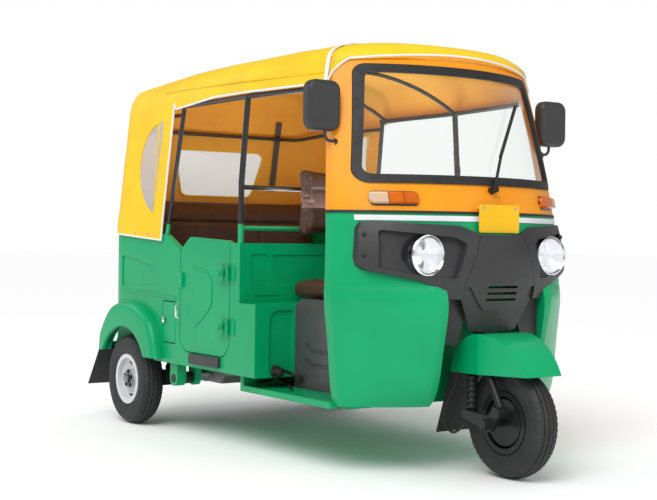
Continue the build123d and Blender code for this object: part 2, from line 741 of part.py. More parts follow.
# Steering stem with a one-sided fork leg beside the tyre
LEG_RADIUS = 15.0
PIVOT_STATION = 40.0
PIVOT_HEIGHT = 256.0
PIVOT_EYE = 22.0
SPRING_STATION = -130.0
CROWN_STATION = -88.0
SPRING_LOW = 250.0
SPRING_RADIUS = 22.0
SPRING_CAP = 20.0
SPRING_HIGH = CROWN_HEIGHT - LEG_RADIUS - 5.0
with BuildPart() as fork_stem:
    with BuildSketch(Plane(steer_point(CROWN_HEIGHT), x_dir=(0, 1, 0), z_dir=STEER_DIRECTION)):
        Circle(STEM_RADIUS)
    extrude(amount=(STEM_HIGH - CROWN_HEIGHT) / math.cos(math.radians(STEER_RAKE)))
    with BuildLine():
        leg_path = FilletPolyline(
            steer_point(CROWN_HEIGHT),
            (front(CROWN_STATION), FORK_SIDE + 2.0, CROWN_HEIGHT),
            (front(-45.0), FORK_SIDE, 408.0),
            (front(PIVOT_STATION), FORK_SIDE, PIVOT_HEIGHT),
            radius=26.0,
        )
    with BuildSketch(Plane(leg_path @ 0, z_dir=leg_path % 0)):
        Circle(LEG_RADIUS)
    sweep()
    with BuildSketch(Plane.XZ.offset(-FORK_SIDE - 16.0)):
        with Locations((front(PIVOT_STATION), PIVOT_HEIGHT)):
            Circle(PIVOT_EYE)
    extrude(amount=32.0)
    with BuildSketch(Plane.XY.offset(SPRING_HIGH)):
        with Locations((front(SPRING_STATION), FORK_SIDE)):
            Circle(SPRING_CAP + 3.5)
    extrude(amount=CROWN_HEIGHT - SPRING_HIGH)
finish(fork_stem, "fork_stem")

# Trailing link with the front axle and the spring seat
LINK_IN = FORK_SIDE - 16.0
LINK_OUT = LINK_IN - 22.0
with BuildPart() as swing_link:
    with BuildSketch(Plane.XZ.offset(-LINK_IN)):
        with Locations((front(PIVOT_STATION), PIVOT_HEIGHT)):
            Circle(PIVOT_EYE)
        with Locations((FRONT_AXLE_X, TYRE_RADIUS)):
            Circle(30.0)
        with Locations((front(SPRING_STATION), SPRING_LOW - 16.0)):
            Circle(16.0)
        with BuildLine():
            Polyline(
                (front(PIVOT_STATION) + 12.0, PIVOT_HEIGHT + 18.0),
                (front(PIVOT_STATION) + 12.0, PIVOT_HEIGHT - 18.0),
                (FRONT_AXLE_X, TYRE_RADIUS - 29.0),
                (front(SPRING_STATION), SPRING_LOW - 32.0),
                (front(SPRING_STATION), SPRING_LOW),
                (FRONT_AXLE_X, TYRE_RADIUS + 30.0),
                close=True,
            )
        make_face()
    extrude(amount=LINK_IN - LINK_OUT)
    with BuildSketch(Plane.XY.offset(SPRING_LOW - 14.0)):
        with Locations((front(SPRING_STATION), FORK_SIDE)):
            Circle(SPRING_CAP + 4.0)
    extrude(amount=14.0)
    with BuildSketch(Plane.XZ.offset(-LINK_OUT)):
        with Locations((FRONT_AXLE_X, TYRE_RADIUS)):
            Circle(20.0)
    extrude(amount=28.0)
    with BuildSketch(Plane.XZ.offset(-LINK_IN)):
        with Locations((FRONT_AXLE_X, TYRE_RADIUS)):
            Circle(AXLE_RADIUS)
    extrude(amount=LINK_IN - HUB_FACE - NUT_FIT - NUT_THICK)
    with BuildSketch(Plane.XZ.offset(-HUB_FACE - NUT_FIT)):
        with Locations((FRONT_AXLE_X, TYRE_RADIUS)):
            Circle(NUT_RADIUS)
    extrude(amount=-NUT_THICK)
finish(swing_link, "swing_link")

# Front spring and damper: a ribbed boot between link and crown
SPRING_TURNS = 9
SPRING_WAIST = 17.0
pitch = (SPRING_HIGH - SPRING_LOW) / SPRING_TURNS
spring_points = [(0.0, SPRING_LOW), (SPRING_WAIST, SPRING_LOW)]
for turn in range(SPRING_TURNS):
    base = SPRING_LOW + turn * pitch
    spring_points.append((SPRING_RADIUS, base + 0.3 * pitch))
    spring_points.append((SPRING_RADIUS, base + 0.7 * pitch))
    spring_points.append((SPRING_WAIST, base + pitch))
spring_points.append((0.0, SPRING_HIGH))
with BuildPart() as front_spring:
    with BuildSketch(Plane((front(SPRING_STATION), FORK_SIDE, 0), x_dir=(1, 0, 0), z_dir=(0, -1, 0))):
        with BuildLine():
            Polyline(*spring_points, close=True)
        make_face()
    revolve(axis=Axis((front(SPRING_STATION), FORK_SIDE, 0), (0, 0, 1)))
finish(front_spring, "front_spring")

# Front mudguard: pressed arch that steers with the fork
GUARD_REAR = -235.0
GUARD_REAR_HEIGHT = 385.0
GUARD_CROWN = -60.0
GUARD_CROWN_HEIGHT = 541.0
GUARD_TIP = 169.0
GUARD_TIP_HEIGHT = 396.0
GUARD_HALF_REAR = 106.0
GUARD_HALF_MID = 122.0
GUARD_HALF_TIP = 87.0


def guard_form(inset, drop):
    """Arch of the mudguard, shrunk by inset and lengthened downward by drop."""
    with BuildPart() as form:
        with BuildSketch(Plane.XZ.offset(-200.0)):
            with BuildLine():
                rear = (front(GUARD_REAR) + inset, GUARD_REAR_HEIGHT - drop)
                crown = (front(GUARD_CROWN), GUARD_CROWN_HEIGHT - inset)
                tip = (front(GUARD_TIP) - inset, GUARD_TIP_HEIGHT - drop)
                rear_mid = (front(GUARD_REAR + 68.0) + inset, GUARD_CROWN_HEIGHT - 36.0 - inset)
                tip_mid = (front(GUARD_TIP - 92.0) - inset, GUARD_CROWN_HEIGHT - 42.0 - inset)
                ThreePointArc(rear, rear_mid, crown)
                ThreePointArc(crown, tip_mid, tip)
                Line(tip, rear)
            make_face()
        extrude(amount=400.0)
        with BuildSketch(Plane.XY):
            with BuildLine():
                Polyline(
                    (front(GUARD_REAR) - 5.0, -GUARD_HALF_REAR + inset),
                    (front(GUARD_CROWN), -GUARD_HALF_MID + inset),
                    (front(GUARD_TIP) + 5.0, -GUARD_HALF_TIP + inset),
                    (front(GUARD_TIP) + 5.0, GUARD_HALF_TIP - inset),
                    (front(GUARD_CROWN), GUARD_HALF_MID - inset),
                    (front(GUARD_REAR) - 5.0, GUARD_HALF_REAR - inset),
                    close=True,
                )
            make_face()
        extrude(amount=800.0, mode=Mode.INTERSECT)
    return form.part


with BuildPart() as front_mudguard:
    add(guard_form(0.0, 0.0))
    add(guard_form(SHEET, 30.0), mode=Mode.SUBTRACT)
    with BuildSketch(Plane(steer_point(CROWN_HEIGHT), x_dir=(0, 1, 0), z_dir=STEER_DIRECTION)):
        Circle(STEM_RADIUS + SEAT_FIT)
    extrude(amount=200.0, mode=Mode.SUBTRACT)
finish(front_mudguard, "front_mudguard")

# Rubber flap under the mudguard's rear edge
FLAP_BOTTOM = 140.0
FLAP_SWEEP = 83.0
with BuildPart() as front_flap:
    add(
        side_prism(
            [
                (front(GUARD_REAR), GUARD_REAR_HEIGHT - SEAT_FIT),
                (front(GUARD_REAR) + SHEET, GUARD_REAR_HEIGHT - SEAT_FIT),
                (front(GUARD_REAR - FLAP_SWEEP) + SHEET, FLAP_BOTTOM),
                (front(GUARD_REAR - FLAP_SWEEP), FLAP_BOTTOM),
            ],
            -GUARD_HALF_REAR,
            GUARD_HALF_REAR,
        )
    )
finish(front_flap, "front_flap")

# Brake hose: a slack loop from the mudguard to the link
HOSE_RADIUS = 5.0
HOSE_POINTS = [
    (front(-193.0), -108.0, GUARD_REAR_HEIGHT + 0.5),
    (front(-195.0), -110.0, 350.0),
    (front(-216.0), -115.0, 306.0),
    (front(-243.0), -121.0, 258.0),
    (front(-250.0), -127.0, 206.0),
    (front(-222.0), -130.0, 166.0),
    (front(-172.0), -126.0, 150.0),
    (front(-126.0), -117.0, SPRING_LOW - 46.0),
]


def cord_line(points):
    """Straight runs joined by arcs, each as large as its two runs allow."""
    pegs = [Vector(*point) for point in points]
    with BuildLine() as line:
        start = pegs[0]
        for before, peg, after in zip(pegs, pegs[1:], pegs[2:]):
            into = (peg - before).normalized()
            out = (after - peg).normalized()
            half_turn = math.radians(into.get_angle(out)) / 2
            reach = 0.45 * min((peg - before).length, (after - peg).length)
            bend = reach / math.tan(half_turn)
            print("hose bend", round(bend, 1))
            first = peg - into * reach
            last = peg + out * reach
            middle = peg + (out - into).normalized() * bend * (1 / math.cos(half_turn) - 1)
            Line(start, first)
            ThreePointArc(first, middle, last)
            start = last
        Line(start, pegs[-1])
    return line.wires()[0]


hose_path = cord_line(HOSE_POINTS)
with BuildPart() as brake_hose:
    with BuildSketch(Plane(hose_path @ 0, z_dir=hose_path % 0)):
        Circle(HOSE_RADIUS)
    sweep(path=hose_path)
finish(brake_hose, "brake_hose")

# Handlebar with clamp and grips
BAR_RADIUS = 11.0
GRIP_RADIUS = 16.0
GRIP_LENGTH = 112.0
BAR_SPAN = 320.0
BAR_PULL = 78.0
BAR_RISE = 42.0
stem_top = steer_point(STEM_HIGH)
with BuildPart() as handlebar:
    with BuildLine():
        bar_path = FilletPolyline(
            (stem_top[0] - BAR_PULL, -BAR_SPAN, STEM_HIGH + BAR_RISE),
            (stem_top[0] - 46.0, -200.0, STEM_HIGH + BAR_RISE),
            (stem_top[0] - 8.0, -80.0, STEM_HIGH + 17.0),
            (stem_top[0] - 8.0, 80.0, STEM_HIGH + 17.0),
            (stem_top[0] - 46.0, 200.0, STEM_HIGH + BAR_RISE),
            (stem_top[0] - BAR_PULL, BAR_SPAN, STEM_HIGH + BAR_RISE),
            radius=40.0,
        )
    with BuildSketch(Plane(bar_path @ 0, z_dir=bar_path % 0)):
        Circle(BAR_RADIUS)
    sweep()
    with BuildSketch(Plane(bar_path @ 0, z_dir=bar_path % 0)):
        Circle(GRIP_RADIUS)
    extrude(amount=GRIP_LENGTH)
    with BuildSketch(Plane(bar_path @ 1, z_dir=bar_path % 1)):
        Circle(GRIP_RADIUS)
    extrude(amount=-GRIP_LENGTH)
    with BuildSketch(Plane(stem_top, x_dir=(0, 1, 0), z_dir=STEER_DIRECTION)):
        RectangleRounded(150.0, 84.0, 24.0)
    extrude(amount=44.0)
finish(handlebar, "handlebar")

# Rear tub: pressed side panels with the door opening
HATCH_REAR = 322.0
HATCH_FRONT = 444.0
HATCH_LOW = 414.0
HATCH_HIGH = 596.0
HATCH_GAP = 5.0
HATCH_SHEET = 14.0
HATCH_PIN = 3.0
HATCH_PIN_REACH = 16.0
HATCH_PIN_ROOT = 6.0
HATCH_CORNER = 10.0
DOOR_CORNER = 80.0
DOOR_CURVE = 28.0
KNUCKLE_RADIUS = 9.0
LEAF_SHEET = 4.0
KNUCKLE_HALF = 12.0
KNUCKLE_GAP = 0.5
KNUCKLE_END = 30.0
DOOR_HINGES = (515.0, 740.0)
SIDE_START = -TUB_OVERHANG + TUB_CORNER
hatch_pin_x = ahead(HATCH_FRONT) - HATCH_SHEET / 2
hatch_pin_y = -TUB_HALF + HATCH_SHEET / 2
hatch_middle = (HATCH_LOW + HATCH_HIGH) / 2


# Pressings: outlines are (station, height) on the sides and (half width, height) on the partition
PRESS_DEPTH = 5.0
PRESS_CORNER = 12.0
BEAD_WIDE = 11.0
BEAD_PROUD = 3.0
SIDE_PRESSING = [
    (SIDE_START + 5.0, 797.0),
    (0.0, 789.0),
    (187.0, 757.0),
    (275.0, 715.0),
    (318.0, 672.0),
    (SIDE_START + 5.0, 650.0),
]
SIDE_BEAD = [(SIDE_START + 8.0, 634.0), (447.0, 616.0)]
DOOR_BEAD = [
    (600.0, 757.0),
    (722.0, 742.0),
    (768.0, 700.0),
    (765.0, 604.0),
    (704.0, 550.0),
    (616.0, 501.0),
]
DOOR_BEAD_CURVE = 28.0


def side_bead(points, curve):
    """Raised bead along (station, height) points on the right-hand outer face."""
    with BuildPart() as bead:
        with BuildSketch(Plane.XZ.offset(TUB_HALF)):
            with BuildLine() as line:
                if curve > 0:
                    FilletPolyline(*[(ahead(station), height) for station, height in points], radius=curve)
                else:
                    Polyline(*[(ahead(station), height) for station, height in points])
            trace(line.line, line_width=BEAD_WIDE)
        extrude(amount=BEAD_PROUD)
    return bead.part


def door_form(grow, y_low, y_high):
    """Door outline in the side view, grown by a gap, between two Y planes."""
    with BuildPart() as form:
        with BuildSketch(Plane.XZ.offset(-y_high)) as face:
            with BuildLine():
                Polyline(
                    (ahead(DOOR_REAR) - grow, DOOR_BOTTOM - grow),
                    (ahead(DOOR_FRONT) + grow, DOOR_BOTTOM - grow),
                    (ahead(DOOR_FRONT) + grow, DOOR_TOP_FRONT + grow),
                    (ahead(DOOR_REAR + DOOR_SLOPE), DOOR_TOP_REAR + grow),
                    (ahead(DOOR_REAR) - grow, DOOR_SHOULDER + grow),
                    close=True,
                )
            make_face()
            fillet(face.vertices().group_by(Axis.Y)[0], DOOR_CORNER + grow)
            fillet(face.vertices().sort_by(Axis.Y)[-3:], DOOR_CURVE + grow)
        extrude(amount=y_high - y_low)
    return form.part


with BuildPart() as side_panel_plain:
    add(
        side_prism(
            [
                (ahead(SIDE_START), TUB_FLOOR),
                (ahead(BULKHEAD_STATION), TUB_FLOOR),
                (ahead(BULKHEAD_STATION), BULKHEAD_TOP),
                (ahead(PARTITION_STATION), BULKHEAD_TOP),
                (ahead(PARTITION_STATION), PARTITION_TOP),
                (ahead(DOOR_FRONT), PARTITION_TOP),
                (ahead(DOOR_FRONT) - 60.0, DOOR_BOTTOM + 200.0),
                (ahead(DOOR_REAR) + 60.0, DOOR_BOTTOM + 200.0),
                (ahead(DOOR_REAR) - DOOR_GAP - 3.0, NOTCH_HEIGHT),
                (ahead(QUARTER_FRONT), TUB_TOP_FRONT),
                (ahead(SIDE_START), TUB_TOP_REAR),
            ],
            -TUB_HALF,
            -TUB_HALF + PANEL_WALL,
        )
    )
    add(door_form(DOOR_GAP, -TUB_HALF - 10.0, -TUB_HALF + PANEL_WALL + 10.0), mode=Mode.SUBTRACT)
    with BuildSketch(Plane.XZ.offset(TUB_HALF + 10.0)):
        with Locations((REAR_AXLE_X, TYRE_RADIUS)):
            Circle(ARCH_RADIUS)
    extrude(amount=-PANEL_WALL - 20.0, mode=Mode.SUBTRACT)
    add(
        side_prism(
            [(ahead(station), height) for station, height in SIDE_PRESSING],
            -TUB_HALF,
            -TUB_HALF + PRESS_DEPTH,
            PRESS_CORNER,
        ),
        mode=Mode.SUBTRACT,
    )
    add(side_bead(SIDE_BEAD, 0.0))
    for hinge_height in DOOR_HINGES:
        hinge_x = ahead(DOOR_FRONT) + DOOR_GAP / 2
        with Locations((hinge_x, -TUB_HALF, hinge_height)):
            Box(44.0, LEAF_SHEET, 2 * KNUCKLE_END, align=(Align.MIN, Align.MAX, Align.CENTER))
        with Locations((hinge_x, -TUB_HALF, hinge_height)):
            Box(
                KNUCKLE_RADIUS + 3.0,
                HINGE_STANDOFF + KNUCKLE_RADIUS,
                2 * (KNUCKLE_HALF + KNUCKLE_GAP),
                align=(Align.CENTER, Align.MAX, Align.CENTER),
                mode=Mode.SUBTRACT,
            )
        for end in (-1, 1):
            middle = hinge_height + end * (KNUCKLE_HALF + KNUCKLE_GAP + KNUCKLE_END) / 2
            length = KNUCKLE_END - KNUCKLE_HALF - KNUCKLE_GAP
            with Locations((hinge_x, -TUB_HALF - HINGE_STANDOFF, middle)):
                Cylinder(KNUCKLE_RADIUS, length)
        with Locations((hinge_x, -TUB_HALF - HINGE_STANDOFF, hinge_height)):
            Cylinder(HINGE_PIN, 2 * KNUCKLE_END)
with BuildPart() as side_panel_right:
    add(side_panel_plain.part)
    with BuildSketch(Plane.XZ.offset(TUB_HALF + 10.0)):
        with Locations((ahead((HATCH_REAR + HATCH_FRONT) / 2), (HATCH_LOW + HATCH_HIGH) / 2)):
            RectangleRounded(
                HATCH_FRONT - HATCH_REAR + 2 * HATCH_GAP,
                HATCH_HIGH - HATCH_LOW + 2 * HATCH_GAP,
                HATCH_CORNER + HATCH_GAP,
            )
    extrude(amount=-PANEL_WALL - 20.0, mode=Mode.SUBTRACT)
    for edge, inward in ((HATCH_LOW, 1), (HATCH_HIGH, -1)):
        pin_start = edge - inward * (HATCH_GAP + HATCH_PIN_ROOT)
        pin_end = edge + inward * HATCH_PIN_REACH
        with Locations((hatch_pin_x, hatch_pin_y, (pin_start + pin_end) / 2)):
            Cylinder(HATCH_PIN, abs(pin_end - pin_start))
finish(side_panel_right, "side_panel_right")
side_panel_left = mirrored(side_panel_plain)
finish(side_panel_left, "side_panel_left")

# Doors with hinge leaves on their front edge
with BuildPart() as door_right:
    add(door_form(0.0, -TUB_HALF, -TUB_HALF + PANEL_WALL))
    add(side_bead(DOOR_BEAD, DOOR_BEAD_CURVE))
    for hinge_height in DOOR_HINGES:
        hinge_x = ahead(DOOR_FRONT) + DOOR_GAP / 2
        with Locations((hinge_x, -TUB_HALF, hinge_height)):
            Box(60.0, LEAF_SHEET, 2 * KNUCKLE_HALF, align=(Align.MAX, Align.MAX, Align.CENTER))
        with Locations((hinge_x, -TUB_HALF - HINGE_STANDOFF, hinge_height)):
            Cylinder(KNUCKLE_RADIUS, 2 * KNUCKLE_HALF)
        with Locations((hinge_x, -TUB_HALF - HINGE_STANDOFF, hinge_height)):
            Cylinder(HINGE_PIN + RUNNING_FIT, 2 * KNUCKLE_END, mode=Mode.SUBTRACT)
    with Locations((ahead(DOOR_REAR) + 22.0, -TUB_HALF, 700.0)):
        Box(16.0, 12.0, 64.0, align=(Align.CENTER, Align.MAX, Align.CENTER))
finish(door_right, "door_right")
door_left = mirrored(door_right)
finish(door_left, "door_left")

# Locked access hatch in the right side, its round front edge on two hidden pins
HATCH_LOCK = 9.0
HATCH_LOCK_PROUD = 8.0
with BuildPart() as side_hatch:
    with BuildSketch(Plane.XY.offset(HATCH_LOW)):
        with Locations((hatch_pin_x, hatch_pin_y)):
            Rectangle(hatch_pin_x - ahead(HATCH_REAR), HATCH_SHEET, align=(Align.MAX, Align.CENTER))
            Circle(HATCH_SHEET / 2)
    extrude(amount=HATCH_HIGH - HATCH_LOW)
    with BuildSketch(Plane.XZ.offset(TUB_HALF + 10.0)):
        with Locations((ahead((HATCH_REAR + HATCH_FRONT) / 2), hatch_middle)):
            RectangleRounded(HATCH_FRONT - HATCH_REAR, HATCH_HIGH - HATCH_LOW, HATCH_CORNER)
    extrude(amount=-PANEL_WALL - 10.0, mode=Mode.INTERSECT)
    for edge in (HATCH_LOW, HATCH_HIGH):
        with Locations((hatch_pin_x, hatch_pin_y, edge)):
            Cylinder(HATCH_PIN + RUNNING_FIT, 2 * (HATCH_PIN_REACH + HATCH_GAP), mode=Mode.SUBTRACT)
    with Locations((ahead(HATCH_REAR) + 2 * HATCH_LOCK, -TUB_HALF, hatch_middle)):
        Cylinder(
            HATCH_LOCK,
            HATCH_LOCK_PROUD,
            rotation=(90, 0, 0),
            align=STANDING,
        )
finish(side_hatch, "side_hatch")

# Rear wall with rounded corners and the engine opening
LID_HALF = 330.0
LID_LOW = 395.0
LID_HIGH = 720.0
LID_GAP = 5.0
LID_SHEET = 20.0
TUB_REAR_X = REAR_AXLE_X - TUB_OVERHANG
CORNER_IN = TUB_CORNER - PANEL_WALL
LID_HINGES = (-220.0, 220.0)
lid_pin_x = TUB_REAR_X - HINGE_STANDOFF
lid_pin_z = LID_HIGH + LID_GAP / 2
with BuildPart() as lid_hinges:
    for hinge_y in LID_HINGES:
        with Locations((TUB_REAR_X, hinge_y, lid_pin_z + KNUCKLE_RADIUS)):
            Box(LEAF_SHEET, 2 * KNUCKLE_END, 30.0, align=(Align.MAX, Align.CENTER, Align.MIN))
        for end in (-1, 1):
            middle = hinge_y + end * (KNUCKLE_HALF + KNUCKLE_GAP + KNUCKLE_END) / 2
            length = KNUCKLE_END - KNUCKLE_HALF - KNUCKLE_GAP
            with Locations((TUB_REAR_X, middle, lid_pin_z)):
                Box(LEAF_SHEET, length, KNUCKLE_RADIUS, align=(Align.MAX, Align.CENTER, Align.MIN))
            with Locations((lid_pin_x, middle, lid_pin_z)):
                Cylinder(KNUCKLE_RADIUS, length, rotation=(90, 0, 0))
        with Locations((lid_pin_x, hinge_y, lid_pin_z)):
            Cylinder(HINGE_PIN, 2 * KNUCKLE_END, rotation=(90, 0, 0))
with BuildPart() as rear_panel:
    with BuildSketch(Plane.XY.offset(TUB_FLOOR)):
        with BuildLine():
            straight = TUB_HALF - TUB_CORNER
            inner = TUB_HALF - PANEL_WALL
            x_side = ahead(SIDE_START)
            Line((x_side, -TUB_HALF), (x_side, -inner))
            RadiusArc((x_side, -inner), (TUB_REAR_X + PANEL_WALL, -straight), CORNER_IN)
            Line((TUB_REAR_X + PANEL_WALL, -straight), (TUB_REAR_X + PANEL_WALL, straight))
            RadiusArc((TUB_REAR_X + PANEL_WALL, straight), (x_side, inner), CORNER_IN)
            Line((x_side, inner), (x_side, TUB_HALF))
            RadiusArc((x_side, TUB_HALF), (TUB_REAR_X, straight), -TUB_CORNER)
            Line((TUB_REAR_X, straight), (TUB_REAR_X, -straight))
            RadiusArc((TUB_REAR_X, -straight), (x_side, -TUB_HALF), -TUB_CORNER)
        make_face()
    extrude(amount=TUB_TOP_REAR - TUB_FLOOR)
    with Locations((TUB_REAR_X, 0, (LID_LOW + LID_HIGH) / 2)):
        Box(4 * PANEL_WALL, 2 * (LID_HALF + LID_GAP), LID_HIGH - LID_LOW + 2 * LID_GAP, mode=Mode.SUBTRACT)
    with BuildSketch(Plane.XZ.offset(TUB_HALF + 10.0)):
        with Locations((REAR_AXLE_X, TYRE_RADIUS)):
            Circle(ARCH_RADIUS)
    extrude(amount=-2 * TUB_HALF - 20.0, mode=Mode.SUBTRACT)
    add(lid_hinges.part)
finish(rear_panel, "rear_panel")

# Engine lid hung from two knuckles above the opening
with BuildPart() as engine_lid:
    with BuildSketch(Plane.YZ.offset(TUB_REAR_X)):
        with Locations((0, (LID_LOW + LID_HIGH) / 2)):
            RectangleRounded(2 * LID_HALF, LID_HIGH - LID_LOW, 30.0)
    extrude(amount=LID_SHEET)
    with BuildSketch(Plane.YZ.offset(TUB_REAR_X - 5.0)):
        with GridLocations(0, 34.0, 1, 5):
            with Locations((0, (LID_LOW + LID_HIGH) / 2 - 40.0)):
                RectangleRounded(2 * LID_HALF - 160.0, 12.0, 5.0)
    extrude(amount=LID_SHEET + 10.0, mode=Mode.SUBTRACT)
    for hinge_y in LID_HINGES:
        with Locations((TUB_REAR_X, hinge_y, lid_pin_z)):
            Box(LEAF_SHEET, 2 * KNUCKLE_HALF, 50.0, align=(Align.MAX, Align.CENTER, Align.MAX))
        with Locations((lid_pin_x, hinge_y, lid_pin_z)):
            Cylinder(KNUCKLE_RADIUS, 2 * KNUCKLE_HALF, rotation=(90, 0, 0))
        with Locations((lid_pin_x, hinge_y, lid_pin_z)):
            Cylinder(HINGE_PIN + RUNNING_FIT, 2 * KNUCKLE_END, rotation=(90, 0, 0), mode=Mode.SUBTRACT)
finish(engine_lid, "engine_lid")
# Partition: upright panel, ledge and lower bulkhead from one bent section
INNER_HALF = TUB_HALF - PANEL_WALL
LEDGE_BEAD = 657.0
PARTITION_FRAMES = [
    [(-547.0, 823.0), (-460.0, 823.0), (-457.0, 694.0), (-547.0, 694.0)],
    [(-444.0, 820.0), (444.0, 820.0), (402.0, 694.0), (-402.0, 694.0)],
    [(547.0, 823.0), (460.0, 823.0), (457.0, 694.0), (547.0, 694.0)],
]
ARCH_OUTER = 531.0
ARCH_INNER = 415.0
ARCH_LOW = 345.0
ARCH_HIGH = 595.0
ARCH_DEPTH = 9.0
ARCH_CORNER = 45.0
with BuildPart() as partition:
    add(
        side_prism(
            [
                (ahead(BENCH_FRONT) - PANEL_WALL, TUB_FLOOR),
                (ahead(BULKHEAD_STATION), TUB_FLOOR),
                (ahead(BULKHEAD_STATION), BULKHEAD_TOP),
                (ahead(PARTITION_STATION), BULKHEAD_TOP),
                (ahead(PARTITION_STATION), PARTITION_TOP),
                (ahead(PARTITION_STATION) - PANEL_WALL, PARTITION_TOP),
                (ahead(PARTITION_STATION) - PANEL_WALL, BULKHEAD_TOP - PANEL_WALL),
                (ahead(BULKHEAD_STATION) - PANEL_WALL, BULKHEAD_TOP - PANEL_WALL),
                (ahead(BULKHEAD_STATION) - PANEL_WALL, TUB_FLOOR + PANEL_WALL),
                (ahead(BENCH_FRONT) - PANEL_WALL, TUB_FLOOR + PANEL_WALL),
            ],
            -INNER_HALF,
            INNER_HALF,
        )
    )
    partition_face = ahead(PARTITION_STATION)
    for outline in PARTITION_FRAMES:
        add(
            front_prism(outline, partition_face - PRESS_DEPTH, partition_face, PRESS_CORNER),
            mode=Mode.SUBTRACT,
        )
    bulkhead_face = ahead(BULKHEAD_STATION)
    for side in (-1, 1):
        with Locations((partition_face, side * (ARCH_OUTER + ARCH_INNER) / 2, LEDGE_BEAD)):
            Box(BEAD_PROUD, ARCH_OUTER - ARCH_INNER, BEAD_WIDE, align=FORWARD)
        with BuildSketch(Plane.YZ.offset(bulkhead_face)) as arch:
            with Locations((side * ARCH_OUTER, ARCH_LOW)):
                inward = Align.MIN if side < 0 else Align.MAX
                Rectangle(ARCH_OUTER - ARCH_INNER, ARCH_HIGH - ARCH_LOW, align=(inward, Align.MIN))
            outer_corner = arch.vertices().group_by(Axis.Y)[-1].sort_by(Axis.X)[0 if side < 0 else -1]
            fillet(outer_corner, ARCH_CORNER)
        extrude(amount=-ARCH_DEPTH, mode=Mode.SUBTRACT)
finish(partition, "partition")

# Bench box over the engine
with BuildPart() as bench_box:
    add(
        side_prism(
            [
                (ahead(BENCH_FRONT) - PANEL_WALL, TUB_FLOOR + PANEL_WALL),
                (ahead(BENCH_FRONT), TUB_FLOOR + PANEL_WALL),
                (ahead(BENCH_FRONT), BENCH_TOP),
                (ahead(SIDE_START), BENCH_TOP),
                (ahead(SIDE_START), BENCH_TOP - PANEL_WALL),
                (ahead(BENCH_FRONT) - PANEL_WALL, BENCH_TOP - PANEL_WALL),
            ],
            -INNER_HALF,
            INNER_HALF,
        )
    )
    with Locations((TUB_REAR_X + PANEL_WALL, 0, BENCH_TOP)):
        Box(
            TUB_CORNER - PANEL_WALL,
            2 * (TUB_HALF - TUB_CORNER),
            PANEL_WALL,
            align=FORWARD_DOWN,
        )
finish(bench_box, "bench_box")

# Wheel houses and flared rear fenders
HOUSE_SHEET = 10.0
HOUSE_IN = 478.0
FENDER_OUT = 650.0
FENDER_SHEET = 6.0
FENDER_ARCH = 250.0
with BuildPart() as wheel_house_right:
    with BuildSketch(Plane.XZ.offset(HOUSE_IN)):
        with Locations((REAR_AXLE_X, TYRE_RADIUS)):
            Circle(ARCH_RADIUS + HOUSE_SHEET)
            Circle(ARCH_RADIUS, mode=Mode.SUBTRACT)
        with Locations((REAR_AXLE_X, TUB_FLOOR + 30.0)):
            Rectangle(2000.0, 1000.0, align=(Align.CENTER, Align.MAX), mode=Mode.SUBTRACT)
    extrude(amount=INNER_HALF - HOUSE_IN)
    add(rear_panel.part, mode=Mode.SUBTRACT)
with BuildPart() as wheel_houses:
    add(wheel_house_right.part)
    mirror(wheel_house_right.part, about=Plane.XZ)
finish(wheel_houses, "wheel_houses")

FENDER_POINTS = [
    # station, height
    (-268.0, 335.0),
    (-262.0, 420.0),
    (-150.0, 545.0),
    (0.0, 578.0),
    (130.0, 565.0),
    (262.0, 490.0),
    (330.0, 335.0),
]


def fender_form(inset, y_in, y_out):
    """Domed fender outline between two Y planes, shrunk by inset."""
    with BuildPart() as form:
        with BuildSketch(Plane.XZ.offset(y_in)) as face:
            with BuildLine():
                Polyline(*[(ahead(station), height) for station, height in FENDER_POINTS], close=True)
            make_face()
            fillet(face.vertices().sort_by(Axis.Y)[2:], 60.0)
            if inset > 0:
                offset(amount=-inset)
        extrude(amount=y_out - y_in)
    return form.part


with BuildPart() as fender_right:
    add(fender_form(0.0, TUB_HALF, FENDER_OUT))
    fillet(fender_right.faces().sort_by(Axis.Y)[0].edges().sort_by(Axis.Z)[1:], 30.0)
    add(fender_form(FENDER_SHEET, TUB_HALF - 1.0, FENDER_OUT - FENDER_SHEET), mode=Mode.SUBTRACT)
    with BuildSketch(Plane.XZ.offset(TUB_HALF - 1.0)):
        with Locations((REAR_AXLE_X, TYRE_RADIUS)):
            Circle(FENDER_ARCH)
    extrude(amount=80.0, mode=Mode.SUBTRACT)
    with Locations((REAR_AXLE_X, -FENDER_OUT, TUB_FLOOR)):
        Box(480.0, 80.0, 60.0, mode=Mode.SUBTRACT)
with BuildPart() as rear_fenders:
    add(fender_right.part)
    mirror(fender_right.part, about=Plane.XZ)
finish(rear_fenders, "rear_fenders")

# Rear flaps behind the wheels
REAR_FLAP_IN = 525.0
REAR_FLAP_OUT = 640.0
REAR_FLAP_LOW = 150.0
FENDER_REAR = FENDER_POINTS[0][0]
FENDER_LOW = FENDER_POINTS[0][1]
flap_points = [
    (ahead(FENDER_REAR) - SEAT_FIT, FENDER_LOW + 35.0),
    (ahead(FENDER_REAR) - SEAT_FIT, FENDER_LOW),
    (ahead(-REAR_END) + SHEET, REAR_FLAP_LOW),
    (ahead(-REAR_END), REAR_FLAP_LOW),
    (ahead(FENDER_REAR) - SEAT_FIT - SHEET, FENDER_LOW),
    (ahead(FENDER_REAR) - SEAT_FIT - SHEET, FENDER_LOW + 35.0),
]
with BuildPart() as rear_flaps:
    add(side_prism(flap_points, -REAR_FLAP_OUT, -REAR_FLAP_IN))
    add(side_prism(flap_points, REAR_FLAP_IN, REAR_FLAP_OUT))
finish(rear_flaps, "rear_flaps")

